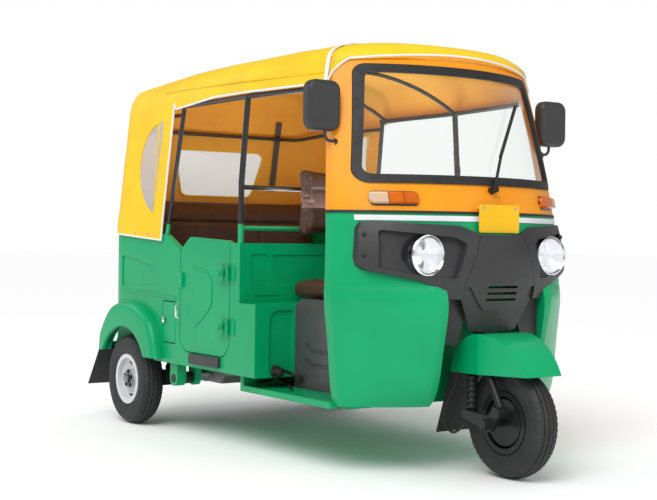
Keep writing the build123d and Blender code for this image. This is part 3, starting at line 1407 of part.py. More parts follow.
# Step plates under the doors
STEP_REAR = 592.0
STEP_FRONT = 850.0
STEP_LOW = 337.0
STEP_HIGH = 379.0
STEP_OUT = 14.0
with BuildPart() as door_steps:
    for side in (-1, 1):
        with Locations((ahead(STEP_REAR), side * (TUB_HALF + STEP_OUT / 2), STEP_LOW)):
            Box(STEP_FRONT - STEP_REAR, STEP_OUT, STEP_HIGH - STEP_LOW, align=FORWARD_UP)
finish(door_steps, "door_steps")

# Tail lamps and bumper bar
TAIL_SIDE = 385.0
TAIL_WIDE = 78.0
TAIL_LOW = 580.0
TAIL_HIGH = 740.0
TAIL_PROUD = 32.0
with BuildPart() as tail_lamps:
    with BuildSketch(Plane.YZ.offset(TUB_REAR_X)):
        with Locations((-TAIL_SIDE, (TAIL_LOW + TAIL_HIGH) / 2), (TAIL_SIDE, (TAIL_LOW + TAIL_HIGH) / 2)):
            RectangleRounded(TAIL_WIDE, TAIL_HIGH - TAIL_LOW, 12.0)
    extrude(amount=-TAIL_PROUD)
    fillet(tail_lamps.faces().group_by(Axis.X)[0].edges(), 8.0)
finish(tail_lamps, "tail_lamps")

BUMPER_RADIUS = 18.0
BUMPER_HEIGHT = 348.0
BUMPER_HALF = 400.0
BUMPER_REACH = 78.0
with BuildPart() as rear_bumper:
    with BuildLine():
        bumper_path = FilletPolyline(
            (TUB_REAR_X, -BUMPER_HALF, BUMPER_HEIGHT),
            (TUB_REAR_X - BUMPER_REACH, -BUMPER_HALF, BUMPER_HEIGHT),
            (TUB_REAR_X - BUMPER_REACH, BUMPER_HALF, BUMPER_HEIGHT),
            (TUB_REAR_X, BUMPER_HALF, BUMPER_HEIGHT),
            radius=45.0,
        )
    with BuildSketch(Plane(bumper_path @ 0, z_dir=bumper_path % 0)):
        Circle(BUMPER_RADIUS)
    sweep()
finish(rear_bumper, "rear_bumper")

# Power unit as a plain block hung from the bench deck
ENGINE_REAR = -170.0
ENGINE_FRONT = 190.0
ENGINE_HALF = 190.0
ENGINE_LOW = 180.0
ENGINE_HIGH = 460.0
MOUNT_RADIUS = 22.0
with BuildPart() as engine_block:
    with Locations((ahead((ENGINE_REAR + ENGINE_FRONT) / 2), 0, (ENGINE_LOW + ENGINE_HIGH) / 2)):
        Box(ENGINE_FRONT - ENGINE_REAR, 2 * ENGINE_HALF, ENGINE_HIGH - ENGINE_LOW)
    chamfer(engine_block.edges().filter_by(Axis.Y), 40.0)
    with BuildSketch(Plane.XY.offset(ENGINE_HIGH)):
        with GridLocations(180.0, 260.0, 2, 2):
            with Locations((ahead((ENGINE_REAR + ENGINE_FRONT) / 2), 0)):
                Circle(MOUNT_RADIUS)
    extrude(amount=BENCH_TOP - PANEL_WALL - ENGINE_HIGH)
finish(engine_block, "engine_block")

# Trailing arms with stub axles, spring seats and pivot brackets
ARM_IN = 484.0
ARM_OUT = 520.0
ARM_PIVOT = 382.0
ARM_PIVOT_HEIGHT = 248.0
ARM_EYE = 26.0
SPRING_SIDE = 448.0
SPRING_AHEAD = 120.0
REAR_SEAT = 252.0
REAR_SPRING_RADIUS = 27.0
with BuildPart() as trailing_arm_right:
    with BuildSketch(Plane.XZ.offset(ARM_IN)):
        with Locations((ahead(ARM_PIVOT), ARM_PIVOT_HEIGHT)):
            Circle(ARM_EYE)
        with Locations((REAR_AXLE_X, TYRE_RADIUS)):
            Circle(44.0)
        with BuildLine():
            Polyline(
                (REAR_AXLE_X, TYRE_RADIUS - 44.0),
                (ahead(ARM_PIVOT), ARM_PIVOT_HEIGHT - ARM_EYE),
                (ahead(ARM_PIVOT), ARM_PIVOT_HEIGHT + ARM_EYE),
                (REAR_AXLE_X, TYRE_RADIUS + 44.0),
                close=True,
            )
        make_face()
    extrude(amount=ARM_OUT - ARM_IN)
    with BuildSketch(Plane.XZ.offset(ARM_OUT)):
        with Locations((REAR_AXLE_X, TYRE_RADIUS)):
            Circle(AXLE_RADIUS)
    extrude(amount=REAR_TRACK / 2 + HUB_FACE + NUT_FIT + NUT_THICK - ARM_OUT)
    with BuildSketch(Plane.XZ.offset(REAR_TRACK / 2 + HUB_FACE + NUT_FIT)):
        with Locations((REAR_AXLE_X, TYRE_RADIUS)):
            Circle(NUT_RADIUS)
    extrude(amount=NUT_THICK)
    with Locations((ahead(SPRING_AHEAD), -SPRING_SIDE, REAR_SEAT)):
        Box(
            2 * REAR_SPRING_RADIUS,
            2 * (ARM_IN - SPRING_SIDE + 2.0),
            14.0,
            align=(Align.CENTER, Align.CENTER, Align.MAX),
        )
    with BuildSketch(Plane.XZ.offset(ARM_IN - 40.0)):
        with Locations((ahead(ARM_PIVOT), ARM_PIVOT_HEIGHT)):
            Circle(ARM_EYE - 6.0)
    extrude(amount=INNER_HALF - ARM_IN + 40.0)
with BuildPart() as trailing_arms:
    add(trailing_arm_right.part)
    mirror(trailing_arm_right.part, about=Plane.XZ)
finish(trailing_arms, "trailing_arms")

with BuildPart() as arm_bracket_right:
    for y_low, y_high in ((ARM_IN - 36.0, ARM_IN - 6.0), (ARM_OUT + 6.0, INNER_HALF - 2.0)):
        with BuildSketch(Plane.XZ.offset(y_low)):
            with Locations((ahead(ARM_PIVOT), ARM_PIVOT_HEIGHT)):
                Circle(ARM_EYE + 8.0)
            with Locations((ahead(ARM_PIVOT), TUB_FLOOR)):
                Rectangle(
                    2 * ARM_EYE + 16.0, TUB_FLOOR - ARM_PIVOT_HEIGHT, align=(Align.CENTER, Align.MAX)
                )
            with Locations((ahead(ARM_PIVOT), ARM_PIVOT_HEIGHT)):
                Circle(ARM_EYE - 6.0 + SEAT_FIT, mode=Mode.SUBTRACT)
        extrude(amount=y_high - y_low)
with BuildPart() as arm_brackets:
    add(arm_bracket_right.part)
    mirror(arm_bracket_right.part, about=Plane.XZ)
finish(arm_brackets, "arm_brackets")

# Rear springs: ribbed columns from the arms to the bench deck
REAR_TURNS = 8
rear_pitch = (BENCH_TOP - PANEL_WALL - REAR_SEAT) / REAR_TURNS
rear_spring_points = [(0.0, REAR_SEAT), (REAR_SPRING_RADIUS - 7.0, REAR_SEAT)]
for turn in range(REAR_TURNS):
    base = REAR_SEAT + turn * rear_pitch
    rear_spring_points.append((REAR_SPRING_RADIUS, base + 0.3 * rear_pitch))
    rear_spring_points.append((REAR_SPRING_RADIUS, base + 0.7 * rear_pitch))
    rear_spring_points.append((REAR_SPRING_RADIUS - 7.0, base + rear_pitch))
rear_spring_points.append((0.0, BENCH_TOP - PANEL_WALL))
with BuildPart() as rear_springs:
    for side in (-1, 1):
        spring_x = ahead(SPRING_AHEAD)
        with BuildSketch(Plane((spring_x, side * SPRING_SIDE, 0), x_dir=(1, 0, 0), z_dir=(0, -1, 0))):
            with BuildLine():
                Polyline(*rear_spring_points, close=True)
            make_face()
        revolve(axis=Axis((spring_x, side * SPRING_SIDE, 0), (0, 0, 1)))
finish(rear_springs, "rear_springs")

# Drive shafts with boots, and the silencer
SHAFT_RADIUS = 14.0
BOOT_RADIUS = 36.0
BOOT_NECK = SHAFT_RADIUS + 4.0
BOOT_LONG = 70.0
with BuildPart() as drive_shafts:
    for side in (-1, 1):
        outward = (-90 * side, 0, 0)
        with Locations((REAR_AXLE_X, side * ENGINE_HALF, TYRE_RADIUS)):
            Cylinder(SHAFT_RADIUS, ARM_IN - ENGINE_HALF, rotation=outward, align=STANDING)
        with Locations((REAR_AXLE_X, side * ENGINE_HALF, TYRE_RADIUS)):
            Cone(BOOT_RADIUS, BOOT_NECK, BOOT_LONG, rotation=outward, align=STANDING)
        with Locations((REAR_AXLE_X, side * (ARM_IN - BOOT_LONG), TYRE_RADIUS)):
            Cone(BOOT_NECK, BOOT_RADIUS, BOOT_LONG, rotation=outward, align=STANDING)
finish(drive_shafts, "drive_shafts")

SILENCER_RADIUS = 52.0
SILENCER_LENGTH = 360.0
SILENCER_HEIGHT = 236.0
with BuildPart() as silencer:
    with Locations((ahead(ENGINE_REAR) - SILENCER_RADIUS - 12.0, 60.0, SILENCER_HEIGHT)):
        Cylinder(SILENCER_RADIUS, SILENCER_LENGTH, rotation=(90, 0, 0))
    fillet(silencer.edges(), 10.0)
    with Locations((ahead(ENGINE_REAR), 60.0, SILENCER_HEIGHT)):
        Cylinder(20.0, 60.0, rotation=(0, 90, 0), align=(Align.CENTER, Align.CENTER, Align.MAX))
    with Locations((ahead(ENGINE_REAR) - SILENCER_RADIUS - 12.0, 200.0, SILENCER_HEIGHT - 10.0)):
        Cylinder(16.0, 90.0, rotation=(0, 110, 0), align=(Align.CENTER, Align.CENTER, Align.MAX))
    add(engine_block.part, mode=Mode.SUBTRACT)
finish(silencer, "silencer")

# Canopy: ruled walls under a barrel roof with rounded shoulders
CANOPY_GAP = 0.5
CANOPY_LOW = 850.0
CANOPY_HIGH = 1760.0
ROOF_CROWN = 1700.0
ROOF_RADIUS = 2100.0
ROOF_PITCH = 2.6
ROOF_STATION = 1500.0
SHOULDER_RADIUS = 90.0
CANOPY_WRAP = CANOPY_GAP + CANOPY_SKIN
# Each row: height, rear station, corner, half width, half at partition, front side, front half, nose
CANOPY_FOOT = (
    -TUB_OVERHANG - CANOPY_WRAP,
    TUB_CORNER + CANOPY_WRAP,
    TUB_HALF + CANOPY_WRAP,
    TUB_HALF + CANOPY_WRAP,
    -363.0,
    590.0,
    -86.0,
)
CANOPY_ROWS = [
    (CANOPY_LOW, *CANOPY_FOOT),
    (TUB_TOP_REAR + 5.0, *CANOPY_FOOT),
    (CANOPY_HIGH, -135.0, 150.0, 580.0, 573.0, -525.0, 485.0, -351.0),
]


def canopy_form(inset):
    """Solid inside the canopy's outer face, shrunk by inset."""
    with BuildPart() as form:
        for height, rear, corner, half, mid, side, side_half, nose in CANOPY_ROWS:
            x_rear = ahead(rear) + inset
            radius = corner - inset
            y_half = half - inset
            y_mid = mid - inset
            y_side = side_half - inset
            x_mid = ahead(PARTITION_STATION)
            with BuildSketch(Plane.XY.offset(height)):
                with BuildLine():
                    Line((x_rear, radius - y_half), (x_rear, y_half - radius))
                    RadiusArc((x_rear, y_half - radius), (x_rear + radius, y_half), radius)
                    Line((x_rear + radius, y_half), (x_mid, y_mid))
                    Line((x_mid, y_mid), (front(side), y_side))
                    ThreePointArc((front(side), y_side), (front(nose) - inset, 0), (front(side), -y_side))
                    Line((front(side), -y_side), (x_mid, -y_mid))
                    Line((x_mid, -y_mid), (x_rear + radius, -y_half))
                    RadiusArc((x_rear + radius, -y_half), (x_rear, radius - y_half), radius)
                make_face()
        loft(ruled=True)
        lean = math.radians(ROOF_PITCH)
        roof_plane = Plane(
            (ahead(ROOF_STATION), 0, ROOF_CROWN - inset),
            x_dir=(0, 1, 0),
            z_dir=(math.cos(lean), 0, math.sin(lean)),
        )
        span = TUB_HALF + 100.0
        bend = ROOF_RADIUS - inset
        drop = bend - math.sqrt(bend**2 - span**2)
        with BuildSketch(roof_plane):
            with BuildLine():
                ThreePointArc((-span, -drop), (0, 0), (span, -drop))
                Line((span, -drop), (span, -ROOF_CROWN))
                Line((span, -ROOF_CROWN), (-span, -ROOF_CROWN))
                Line((-span, -ROOF_CROWN), (-span, -drop))
            make_face()
        extrude(amount=2 * WHEELBASE, both=True, mode=Mode.INTERSECT)
        fillet(form.faces().sort_by(Axis.Z)[-1].edges(), SHOULDER_RADIUS - inset)
    return form.part


HEM_REAR = 909.0
HEM_FRONT = 873.0
EDGE_LOW = 317.0
EDGE_HIGH = 390.0
EDGE_TOP = 1463.0
KNEE_STATION = 740.0
GUTTER_HEIGHT = 1491.0
SPLIT_STATION = 1500.0
VISOR_HEIGHT = 1597.0
canopy_outer = canopy_form(0.0)
canopy_inner = canopy_form(CANOPY_SKIN)
header_grown = nose_form(SCREEN_ROWS, -CANOPY_GAP, open_back=CANOPY_GAP)
opening_points = [
    (ahead(EDGE_LOW), CANOPY_LOW - 10.0),
    (ahead(EDGE_LOW), HEM_FRONT),
    (ahead(EDGE_HIGH), EDGE_TOP),
    (ahead(KNEE_STATION), GUTTER_HEIGHT),
    (ahead(SPLIT_STATION) + 20.0, GUTTER_HEIGHT),
    (ahead(SPLIT_STATION) + 20.0, CANOPY_LOW - 10.0),
]
hem_points = [
    (ahead(-TUB_OVERHANG) - 100.0, CANOPY_LOW - 10.0),
    (ahead(EDGE_LOW) + 1.0, CANOPY_LOW - 10.0),
    (ahead(EDGE_LOW) + 1.0, HEM_FRONT),
    (ahead(-TUB_OVERHANG), HEM_REAR),
    (ahead(-TUB_OVERHANG) - 100.0, HEM_REAR),
]
SPAN_OUT = TUB_HALF + 100.0


def quarter_window(shrink, y_low, y_high):
    """Half-moon side window between two Y planes."""
    with BuildPart() as form:
        with BuildSketch(Plane.XZ.offset(-y_high)):
            with BuildLine():
                ThreePointArc((ahead(232.0), 992.0), (ahead(66.0), 1226.0), (ahead(286.0), 1418.0))
                Line((ahead(286.0), 1418.0), (ahead(232.0), 992.0))
            make_face()
            if shrink > 0:
                offset(amount=-shrink)
        extrude(amount=y_high - y_low)
    return form.part


def rear_window(shrink):
    """Trapezium rear window reaching through the rear wall."""
    points = [(-205.0, 1100.0), (205.0, 1100.0), (267.0, 1335.0), (-267.0, 1335.0)]
    with BuildPart() as form:
        with BuildSketch(Plane.YZ.offset(ahead(-TUB_OVERHANG) - 100.0)) as face:
            with BuildLine():
                Polyline(*points, close=True)
            make_face()
            fillet(face.vertices(), 40.0)
            if shrink > 0:
                offset(amount=-shrink)
        extrude(amount=TUB_OVERHANG)
    return form.part


with BuildPart() as canopy:
    add(canopy_outer)
    add(canopy_inner, mode=Mode.SUBTRACT)
    with Locations((ahead(SPLIT_STATION), 0, 0)):
        Box(2000.0, 3000.0, 4000.0, align=FORWARD, mode=Mode.SUBTRACT)
    add(side_prism(opening_points, -SPAN_OUT, SPAN_OUT), mode=Mode.SUBTRACT)
    add(side_prism(hem_points, -SPAN_OUT, SPAN_OUT), mode=Mode.SUBTRACT)
    add(quarter_window(0.0, -SPAN_OUT, SPAN_OUT), mode=Mode.SUBTRACT)
    add(rear_window(0.0), mode=Mode.SUBTRACT)
    add(header_grown, mode=Mode.SUBTRACT)
finish(canopy, "canopy")

with BuildPart() as canopy_visor:
    add(canopy_outer)
    add(canopy_inner, mode=Mode.SUBTRACT)
    with Locations((ahead(SPLIT_STATION) + CANOPY_GAP, 0, 0)):
        Box(4000.0, 3000.0, 4000.0, align=(Align.MAX, Align.CENTER, Align.CENTER), mode=Mode.SUBTRACT)
    add(
        side_prism(
            [
                (ahead(SPLIT_STATION) - 10.0, CANOPY_LOW - 10.0),
                (ahead(SPLIT_STATION) - 10.0, GUTTER_HEIGHT),
                (ahead(SPLIT_STATION) + 4.0, GUTTER_HEIGHT),
                (front(-452.0), SCREEN_HIGH + 12.0),
                (front(-297.0), VISOR_HEIGHT),
                (front(100.0), VISOR_HEIGHT),
                (front(100.0), CANOPY_LOW - 10.0),
            ],
            -SPAN_OUT,
            SPAN_OUT,
        ),
        mode=Mode.SUBTRACT,
    )
    add(header_grown, mode=Mode.SUBTRACT)
finish(canopy_visor, "canopy_visor")

PANE = 3.0
pane_outer = canopy_form((CANOPY_SKIN - PANE) / 2)
pane_inner = canopy_form((CANOPY_SKIN + PANE) / 2)
with BuildPart() as canopy_windows:
    add(quarter_window(SEAT_FIT, -SPAN_OUT, -INNER_HALF + 60.0))
    add(quarter_window(SEAT_FIT, INNER_HALF - 60.0, SPAN_OUT))
    add(rear_window(SEAT_FIT))
    add(pane_outer, mode=Mode.INTERSECT)
    add(pane_inner, mode=Mode.SUBTRACT)
finish(canopy_windows, "canopy_windows")

# Tube frame: posts, bars, roof bows, gutter rails and rear hoop
RAIL_RADIUS = 11.0
POST_RADIUS = 12.5
BOW_RADIUS = 9.0
CROSS_RADIUS = 10.0
POST_STATION = 985.0
POST_SIDE = TUB_HALF - PANEL_WALL / 2
POST_KINK = 1120.0
RAIL_SIDE = 560.0
RAIL_FRONT = 503.0
RAIL_HEIGHT = 1478.0
RAIL_REAR = 420.0
RAIL_END = -537.0
BAR_LOW = 930.0
BAR_HIGH = 1100.0
BOW_RISE = 150.0
HOOP_HEIGHT = 1410.0
HOOP_STATION = -165.0
HOOP_DROP = 38.0
upright_top = (ahead(RAIL_REAR) + 14.0, RAIL_SIDE, RAIL_HEIGHT)
upright_foot = (ahead(QUARTER_FRONT) - 12.0, POST_SIDE, TUB_TOP_FRONT - 5.0)
hoop_share = HOOP_DROP / (upright_top[2] - upright_foot[2])
hoop_x = upright_top[0] + hoop_share * (upright_foot[0] - upright_top[0])
hoop_y = upright_top[1] + hoop_share * (upright_foot[1] - upright_top[1])
tube_paths = []
for side in (-1, 1):
    with BuildLine() as post:
        FilletPolyline(
            (ahead(POST_STATION), side * POST_SIDE, PARTITION_TOP - 5.0),
            (ahead(POST_STATION), side * POST_SIDE, POST_KINK),
            (ahead(POST_STATION), side * RAIL_SIDE, RAIL_HEIGHT + 3.0),
            radius=150.0,
        )
    tube_paths.append((post.wires()[0], POST_RADIUS))
    with BuildLine() as rail:
        FilletPolyline(
            (front(RAIL_END) - 0.5, side * RAIL_FRONT, RAIL_HEIGHT),
            (ahead(POST_STATION), side * RAIL_SIDE, RAIL_HEIGHT),
            (ahead(RAIL_REAR), side * RAIL_SIDE, RAIL_HEIGHT),
            radius=200.0,
        )
    tube_paths.append((rail.wires()[0], RAIL_RADIUS))
    with BuildLine() as upright:
        Line(
            (upright_top[0], side * upright_top[1], upright_top[2]),
            (upright_foot[0], side * upright_foot[1], upright_foot[2]),
        )
    tube_paths.append((upright.wires()[0], CROSS_RADIUS))
for station in (POST_STATION, RAIL_REAR + 45.0):
    with BuildLine() as bow:
        ThreePointArc(
            (ahead(station), -RAIL_SIDE, RAIL_HEIGHT),
            (ahead(station), 0, RAIL_HEIGHT + BOW_RISE),
            (ahead(station), RAIL_SIDE, RAIL_HEIGHT),
        )
    tube_paths.append((bow.wires()[0], BOW_RADIUS))
for height in (BAR_LOW, BAR_HIGH):
    with BuildLine() as bar:
        Line((ahead(POST_STATION), -POST_SIDE, height), (ahead(POST_STATION), POST_SIDE, height))
    tube_paths.append((bar.wires()[0], CROSS_RADIUS))
with BuildLine() as hoop:
    FilletPolyline(
        (hoop_x, -hoop_y, RAIL_HEIGHT - HOOP_DROP),
        (ahead(-40.0), -RAIL_SIDE + 6.0, HOOP_HEIGHT + 30.0),
        (ahead(HOOP_STATION), -440.0, HOOP_HEIGHT),
        (ahead(HOOP_STATION), 440.0, HOOP_HEIGHT),
        (ahead(-40.0), RAIL_SIDE - 6.0, HOOP_HEIGHT + 30.0),
        (hoop_x, hoop_y, RAIL_HEIGHT - HOOP_DROP),
        radius=90.0,
    )
tube_paths.append((hoop.wires()[0], BOW_RADIUS))
with BuildPart() as cabin_frame:
    for path, radius in tube_paths:
        with BuildSketch(Plane(path @ 0, z_dir=path % 0)):
            Circle(radius)
        sweep(path=path)
    add(side_panel_right.part, mode=Mode.SUBTRACT)
    add(side_panel_left.part, mode=Mode.SUBTRACT)
finish(cabin_frame, "cabin_frame")

# Passenger bench
CUSHION_HALF = 560.0
CUSHION_REAR = -95.0
CUSHION_FRONT = 400.0
CUSHION_TALL = 120.0
with BuildPart() as bench_cushion:
    with Locations((ahead((CUSHION_REAR + CUSHION_FRONT) / 2), 0, BENCH_TOP + SEAT_FIT)):
        Box(CUSHION_FRONT - CUSHION_REAR, 2 * CUSHION_HALF, CUSHION_TALL, align=STANDING)
    fillet(bench_cushion.edges(), 30.0)
finish(bench_cushion, "bench_cushion")

BACK_TOP = 1095.0
with BuildPart() as bench_back:
    add(
        side_prism(
            [
                (ahead(-TUB_OVERHANG) + PANEL_WALL + SEAT_FIT, BENCH_TOP + SEAT_FIT),
                (ahead(CUSHION_REAR) - 5.0, BENCH_TOP + SEAT_FIT),
                (ahead(CUSHION_REAR) - 55.0, BACK_TOP),
                (ahead(-TUB_OVERHANG) + PANEL_WALL + 30.0, BACK_TOP),
            ],
            -CUSHION_HALF,
            CUSHION_HALF,
            20.0,
        )
    )
    with BuildSketch(Plane.XY.offset(BENCH_TOP)) as plan:
        with Locations((ahead(-TUB_OVERHANG) + PANEL_WALL, 0)):
            Rectangle(400.0, 2 * CUSHION_HALF, align=(Align.MIN, Align.CENTER))
        fillet(plan.vertices().group_by(Axis.X)[0], 150.0)
    extrude(amount=BACK_TOP - BENCH_TOP, mode=Mode.INTERSECT)
finish(bench_back, "bench_back")

# Driver's seat on a moulded box
SEAT_FRONT = 1440.0
SEAT_BOX_HALF = 405.0
SEAT_BOX_TOP = 640.0
SEAT_HALF = 375.0
SEAT_BOX_CORNER = 140.0
SEAT_BOX_EDGE = 26.0
LOUVRE_DEPTH = 6.0
LOUVRE_TALL = 16.0
# Each louvre: station and height of its high end, then of its bend
LOUVRES = [((1208.0, 464.0), (1276.0, 440.0)), ((1200.0, 407.0), (1264.0, 384.0))]


def seat_box_form(inset):
    """Moulded box under the driver's seat, shrunk by inset at its front and sides."""
    with BuildPart() as form:
        with BuildSketch(Plane.XY.offset(FLOOR_TOP)) as plan:
            with Locations((ahead(BULKHEAD_STATION) + SEAT_FIT, 0)):
                Rectangle(
                    SEAT_FRONT - BULKHEAD_STATION - inset,
                    2 * (SEAT_BOX_HALF - inset),
                    align=(Align.MIN, Align.CENTER),
                )
            fillet(plan.vertices().group_by(Axis.X)[-1], SEAT_BOX_CORNER - inset)
        extrude(amount=SEAT_BOX_TOP - FLOOR_TOP)
    return form.part


with BuildPart() as louvre_cuts:
    for high_end, bend in LOUVRES:
        louvre_line = [
            (ahead(high_end[0]), high_end[1]),
            (ahead(bend[0]), bend[1]),
            (ahead(SEAT_FRONT) - SEAT_BOX_CORNER / 2, bend[1]),
            (ahead(SEAT_FRONT) - SEAT_BOX_CORNER / 2, bend[1] - LOUVRE_TALL),
            (ahead(bend[0]) - LOUVRE_TALL / 2, bend[1] - LOUVRE_TALL),
            (ahead(high_end[0]), high_end[1] - LOUVRE_TALL),
        ]
        add(side_prism(louvre_line, -SEAT_BOX_HALF, SEAT_BOX_HALF))
    add(seat_box_form(LOUVRE_DEPTH), mode=Mode.SUBTRACT)
with BuildPart() as seat_box:
    add(seat_box_form(0.0))
    chamfer(seat_box.faces().sort_by(Axis.Z)[-1].edges().sort_by(Axis.X)[1:], SEAT_BOX_EDGE)
    add(louvre_cuts.part, mode=Mode.SUBTRACT)
finish(seat_box, "seat_box")

with BuildPart() as seat_cushion:
    with Locations((ahead(PARTITION_STATION) + 4.0, 0, SEAT_BOX_TOP + SEAT_FIT)):
        Box(SEAT_FRONT - PARTITION_STATION, 2 * SEAT_HALF, 72.0, align=FORWARD_UP)
    fillet(seat_cushion.edges(), 24.0)
finish(seat_cushion, "seat_cushion")

with BuildPart() as seat_back:
    with Locations((ahead(POST_STATION) + CROSS_RADIUS + SEAT_FIT, 0, 890.0)):
        Box(74.0, 2 * 340.0, 306.0, align=FORWARD_UP)
    fillet(seat_back.edges(), 24.0)
finish(seat_back, "seat_back")

# Dashboard shelf inside the cowl and the foot pedal
DASH_LOW = 925.0
DASH_TOP = 996.0
DASH_BACK = -325.0
DASH_SHEET = 14.0
dash_form = cowl_form(COWL_WALL + SEAT_FIT)
with BuildPart() as dashboard:
    add(dash_form)
    with Locations((front(DASH_BACK), 0, DASH_LOW)):
        Box(600.0, 900.0, DASH_TOP - DASH_LOW, align=FORWARD_UP, mode=Mode.INTERSECT)
    with Locations((front(DASH_BACK) + DASH_SHEET, 0, DASH_LOW)):
        Box(
            600.0,
            900.0 - 2 * DASH_SHEET,
            DASH_TOP - DASH_SHEET - DASH_LOW,
            align=FORWARD_UP,
            mode=Mode.SUBTRACT,
        )
finish(dashboard, "dashboard")

PEDAL_RADIUS = 9.0
with BuildPart() as foot_pedal:
    with BuildLine():
        pedal_path = FilletPolyline(
            (ahead(1560.0), -330.0, FLOOR_TOP),
            (ahead(1560.0), -330.0, FLOOR_TOP + 60.0),
            (ahead(1500.0), -330.0, FLOOR_TOP + 130.0),
            radius=30.0,
        )
    with BuildSketch(Plane(pedal_path @ 0, z_dir=pedal_path % 0)):
        Circle(PEDAL_RADIUS)
    sweep()
    with Locations((ahead(1498.0), -330.0, FLOOR_TOP + 132.0)):
        Box(46.0, 70.0, 12.0, rotation=(0, -40, 0))
finish(foot_pedal, "foot_pedal")
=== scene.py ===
import json
import math

import bpy
import bmesh
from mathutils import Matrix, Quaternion, Vector
from mathutils import noise as canvas_noise
from mathutils.bvhtree import BVHTree


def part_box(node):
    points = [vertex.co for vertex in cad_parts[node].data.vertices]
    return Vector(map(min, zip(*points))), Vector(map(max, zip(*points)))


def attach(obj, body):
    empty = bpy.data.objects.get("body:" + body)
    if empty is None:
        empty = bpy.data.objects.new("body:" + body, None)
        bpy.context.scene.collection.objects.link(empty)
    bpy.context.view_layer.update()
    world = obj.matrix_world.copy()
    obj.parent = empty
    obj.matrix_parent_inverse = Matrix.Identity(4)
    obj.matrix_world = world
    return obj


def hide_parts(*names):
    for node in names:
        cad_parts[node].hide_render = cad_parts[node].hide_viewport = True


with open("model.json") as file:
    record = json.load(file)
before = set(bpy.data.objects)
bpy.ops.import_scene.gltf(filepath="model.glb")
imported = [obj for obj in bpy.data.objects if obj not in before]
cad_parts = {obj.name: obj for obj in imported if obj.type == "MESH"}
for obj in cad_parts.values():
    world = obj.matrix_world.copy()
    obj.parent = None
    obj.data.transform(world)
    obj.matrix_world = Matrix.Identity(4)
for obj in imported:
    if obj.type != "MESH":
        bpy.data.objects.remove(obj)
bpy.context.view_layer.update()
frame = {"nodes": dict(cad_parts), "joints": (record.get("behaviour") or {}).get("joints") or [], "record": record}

nodes = frame["nodes"]

# Noise of the materials, in waves per metre, its roughness, and the shine of paint
PAINT_DRIFT = 2.2
PAINT_WEAR = 55.0
ORANGE_PEEL = 420.0
PLASTIC_DRIFT = 6.0
PLASTIC_WEAR = 30.0
GLASS_SMEAR = 9.0
FILM_SMEAR = 14.0
FILM_RIPPLE = 12.0
NOISE_ROUGH = 0.55
PAINT_SHINE = 0.22


# Node helpers for procedural materials
def set_inputs(node, values):
    """Gives a node's inputs their plain values."""
    for name, value in values.items():
        node.inputs[name].default_value = value


def add_node(tree, kind, values, links):
    """A new node with plain values and linked inputs."""
    node = tree.nodes.new(kind)
    set_inputs(node, values)
    for name, socket in links.items():
        tree.links.new(socket, node.inputs[name])
    return node


def new_material(name, scale=(1.0, 1.0, 1.0)):
    """A material, its tree, its Principled shader and the row frame's metres as coordinates."""
    made = bpy.data.materials.new(name)
    made.use_nodes = True
    tree = made.node_tree
    metres = tree.nodes.new("ShaderNodeTexCoord").outputs["Object"]
    mapping = add_node(tree, "ShaderNodeMapping", {"Scale": scale}, {"Vector": metres})
    return made, tree, tree.nodes["Principled BSDF"], mapping.outputs["Vector"]


def noise(tree, place, scale, detail=4.0):
    """A noise texture's value."""
    values = {"Scale": scale, "Detail": detail, "Roughness": NOISE_ROUGH}
    return add_node(tree, "ShaderNodeTexNoise", values, {"Vector": place}).outputs["Fac"]


def ramp(tree, value, low, high, start, end):
    """A value spread from one number to another between two stops."""
    values = {"From Min": start, "From Max": end, "To Min": low, "To Max": high}
    return add_node(tree, "ShaderNodeMapRange", values, {"Value": value}).outputs["Result"]


def blend(tree, shader, factor, first, second):
    """A base colour mixed from two by a factor."""
    node = tree.nodes.new("ShaderNodeMix")
    node.data_type = "RGBA"
    tree.links.new(factor, node.inputs["Factor"])
    node.inputs[6].default_value = (*first, 1.0)
    node.inputs[7].default_value = (*second, 1.0)
    tree.links.new(node.outputs[2], shader.inputs["Base Color"])


def drift(tree, shader, place, scale, colour, shade):
    """A base colour that changes slowly between two over the surface."""
    blend(tree, shader, ramp(tree, noise(tree, place, scale, 3.0), 0.0, 1.0, 0.35, 0.7), colour, shade)


def wear(tree, shader, value, low, high, start, end):
    """Roughness that follows a noise value."""
    tree.links.new(ramp(tree, value, low, high, start, end), shader.inputs["Roughness"])


def bump(tree, shader, height, strength, distance):
    """Relief from a height value."""
    values = {"Strength": strength, "Distance": distance}
    node = add_node(tree, "ShaderNodeBump", values, {"Height": height})
    tree.links.new(node.outputs["Normal"], shader.inputs["Normal"])


def enamel(tree, shader, place, roughness, coat, shine):
    """Uneven gloss, orange-peel relief and a clear coat."""
    wear(tree, shader, noise(tree, place, PAINT_WEAR, 5.0), roughness, roughness + 0.12, 0.3, 0.75)
    set_inputs(shader, {"Specular IOR Level": shine, "Coat Weight": coat, "Coat Roughness": 0.08})
    bump(tree, shader, noise(tree, place, ORANGE_PEEL, 2.0), 0.08, 0.0006)


def paint(name, colour, shade, roughness=0.3, coat=0.12):
    """Sprayed enamel with a slow colour drift."""
    made, tree, shader, place = new_material(name)
    drift(tree, shader, place, PAINT_DRIFT, colour, shade)
    enamel(tree, shader, place, roughness, coat, PAINT_SHINE)
    return made


def two_tone(name, lower, upper, height):
    """Enamel that changes colour at a height, as a post painted with the body below it."""
    made, tree, shader, place = new_material(name)
    split = add_node(tree, "ShaderNodeSeparateXYZ", {}, {"Vector": place})
    blend(tree, shader, ramp(tree, split.outputs["Z"], 0.0, 1.0, height, height + 0.002), lower, upper)
    enamel(tree, shader, place, 0.3, 0.3, 0.5)
    return made


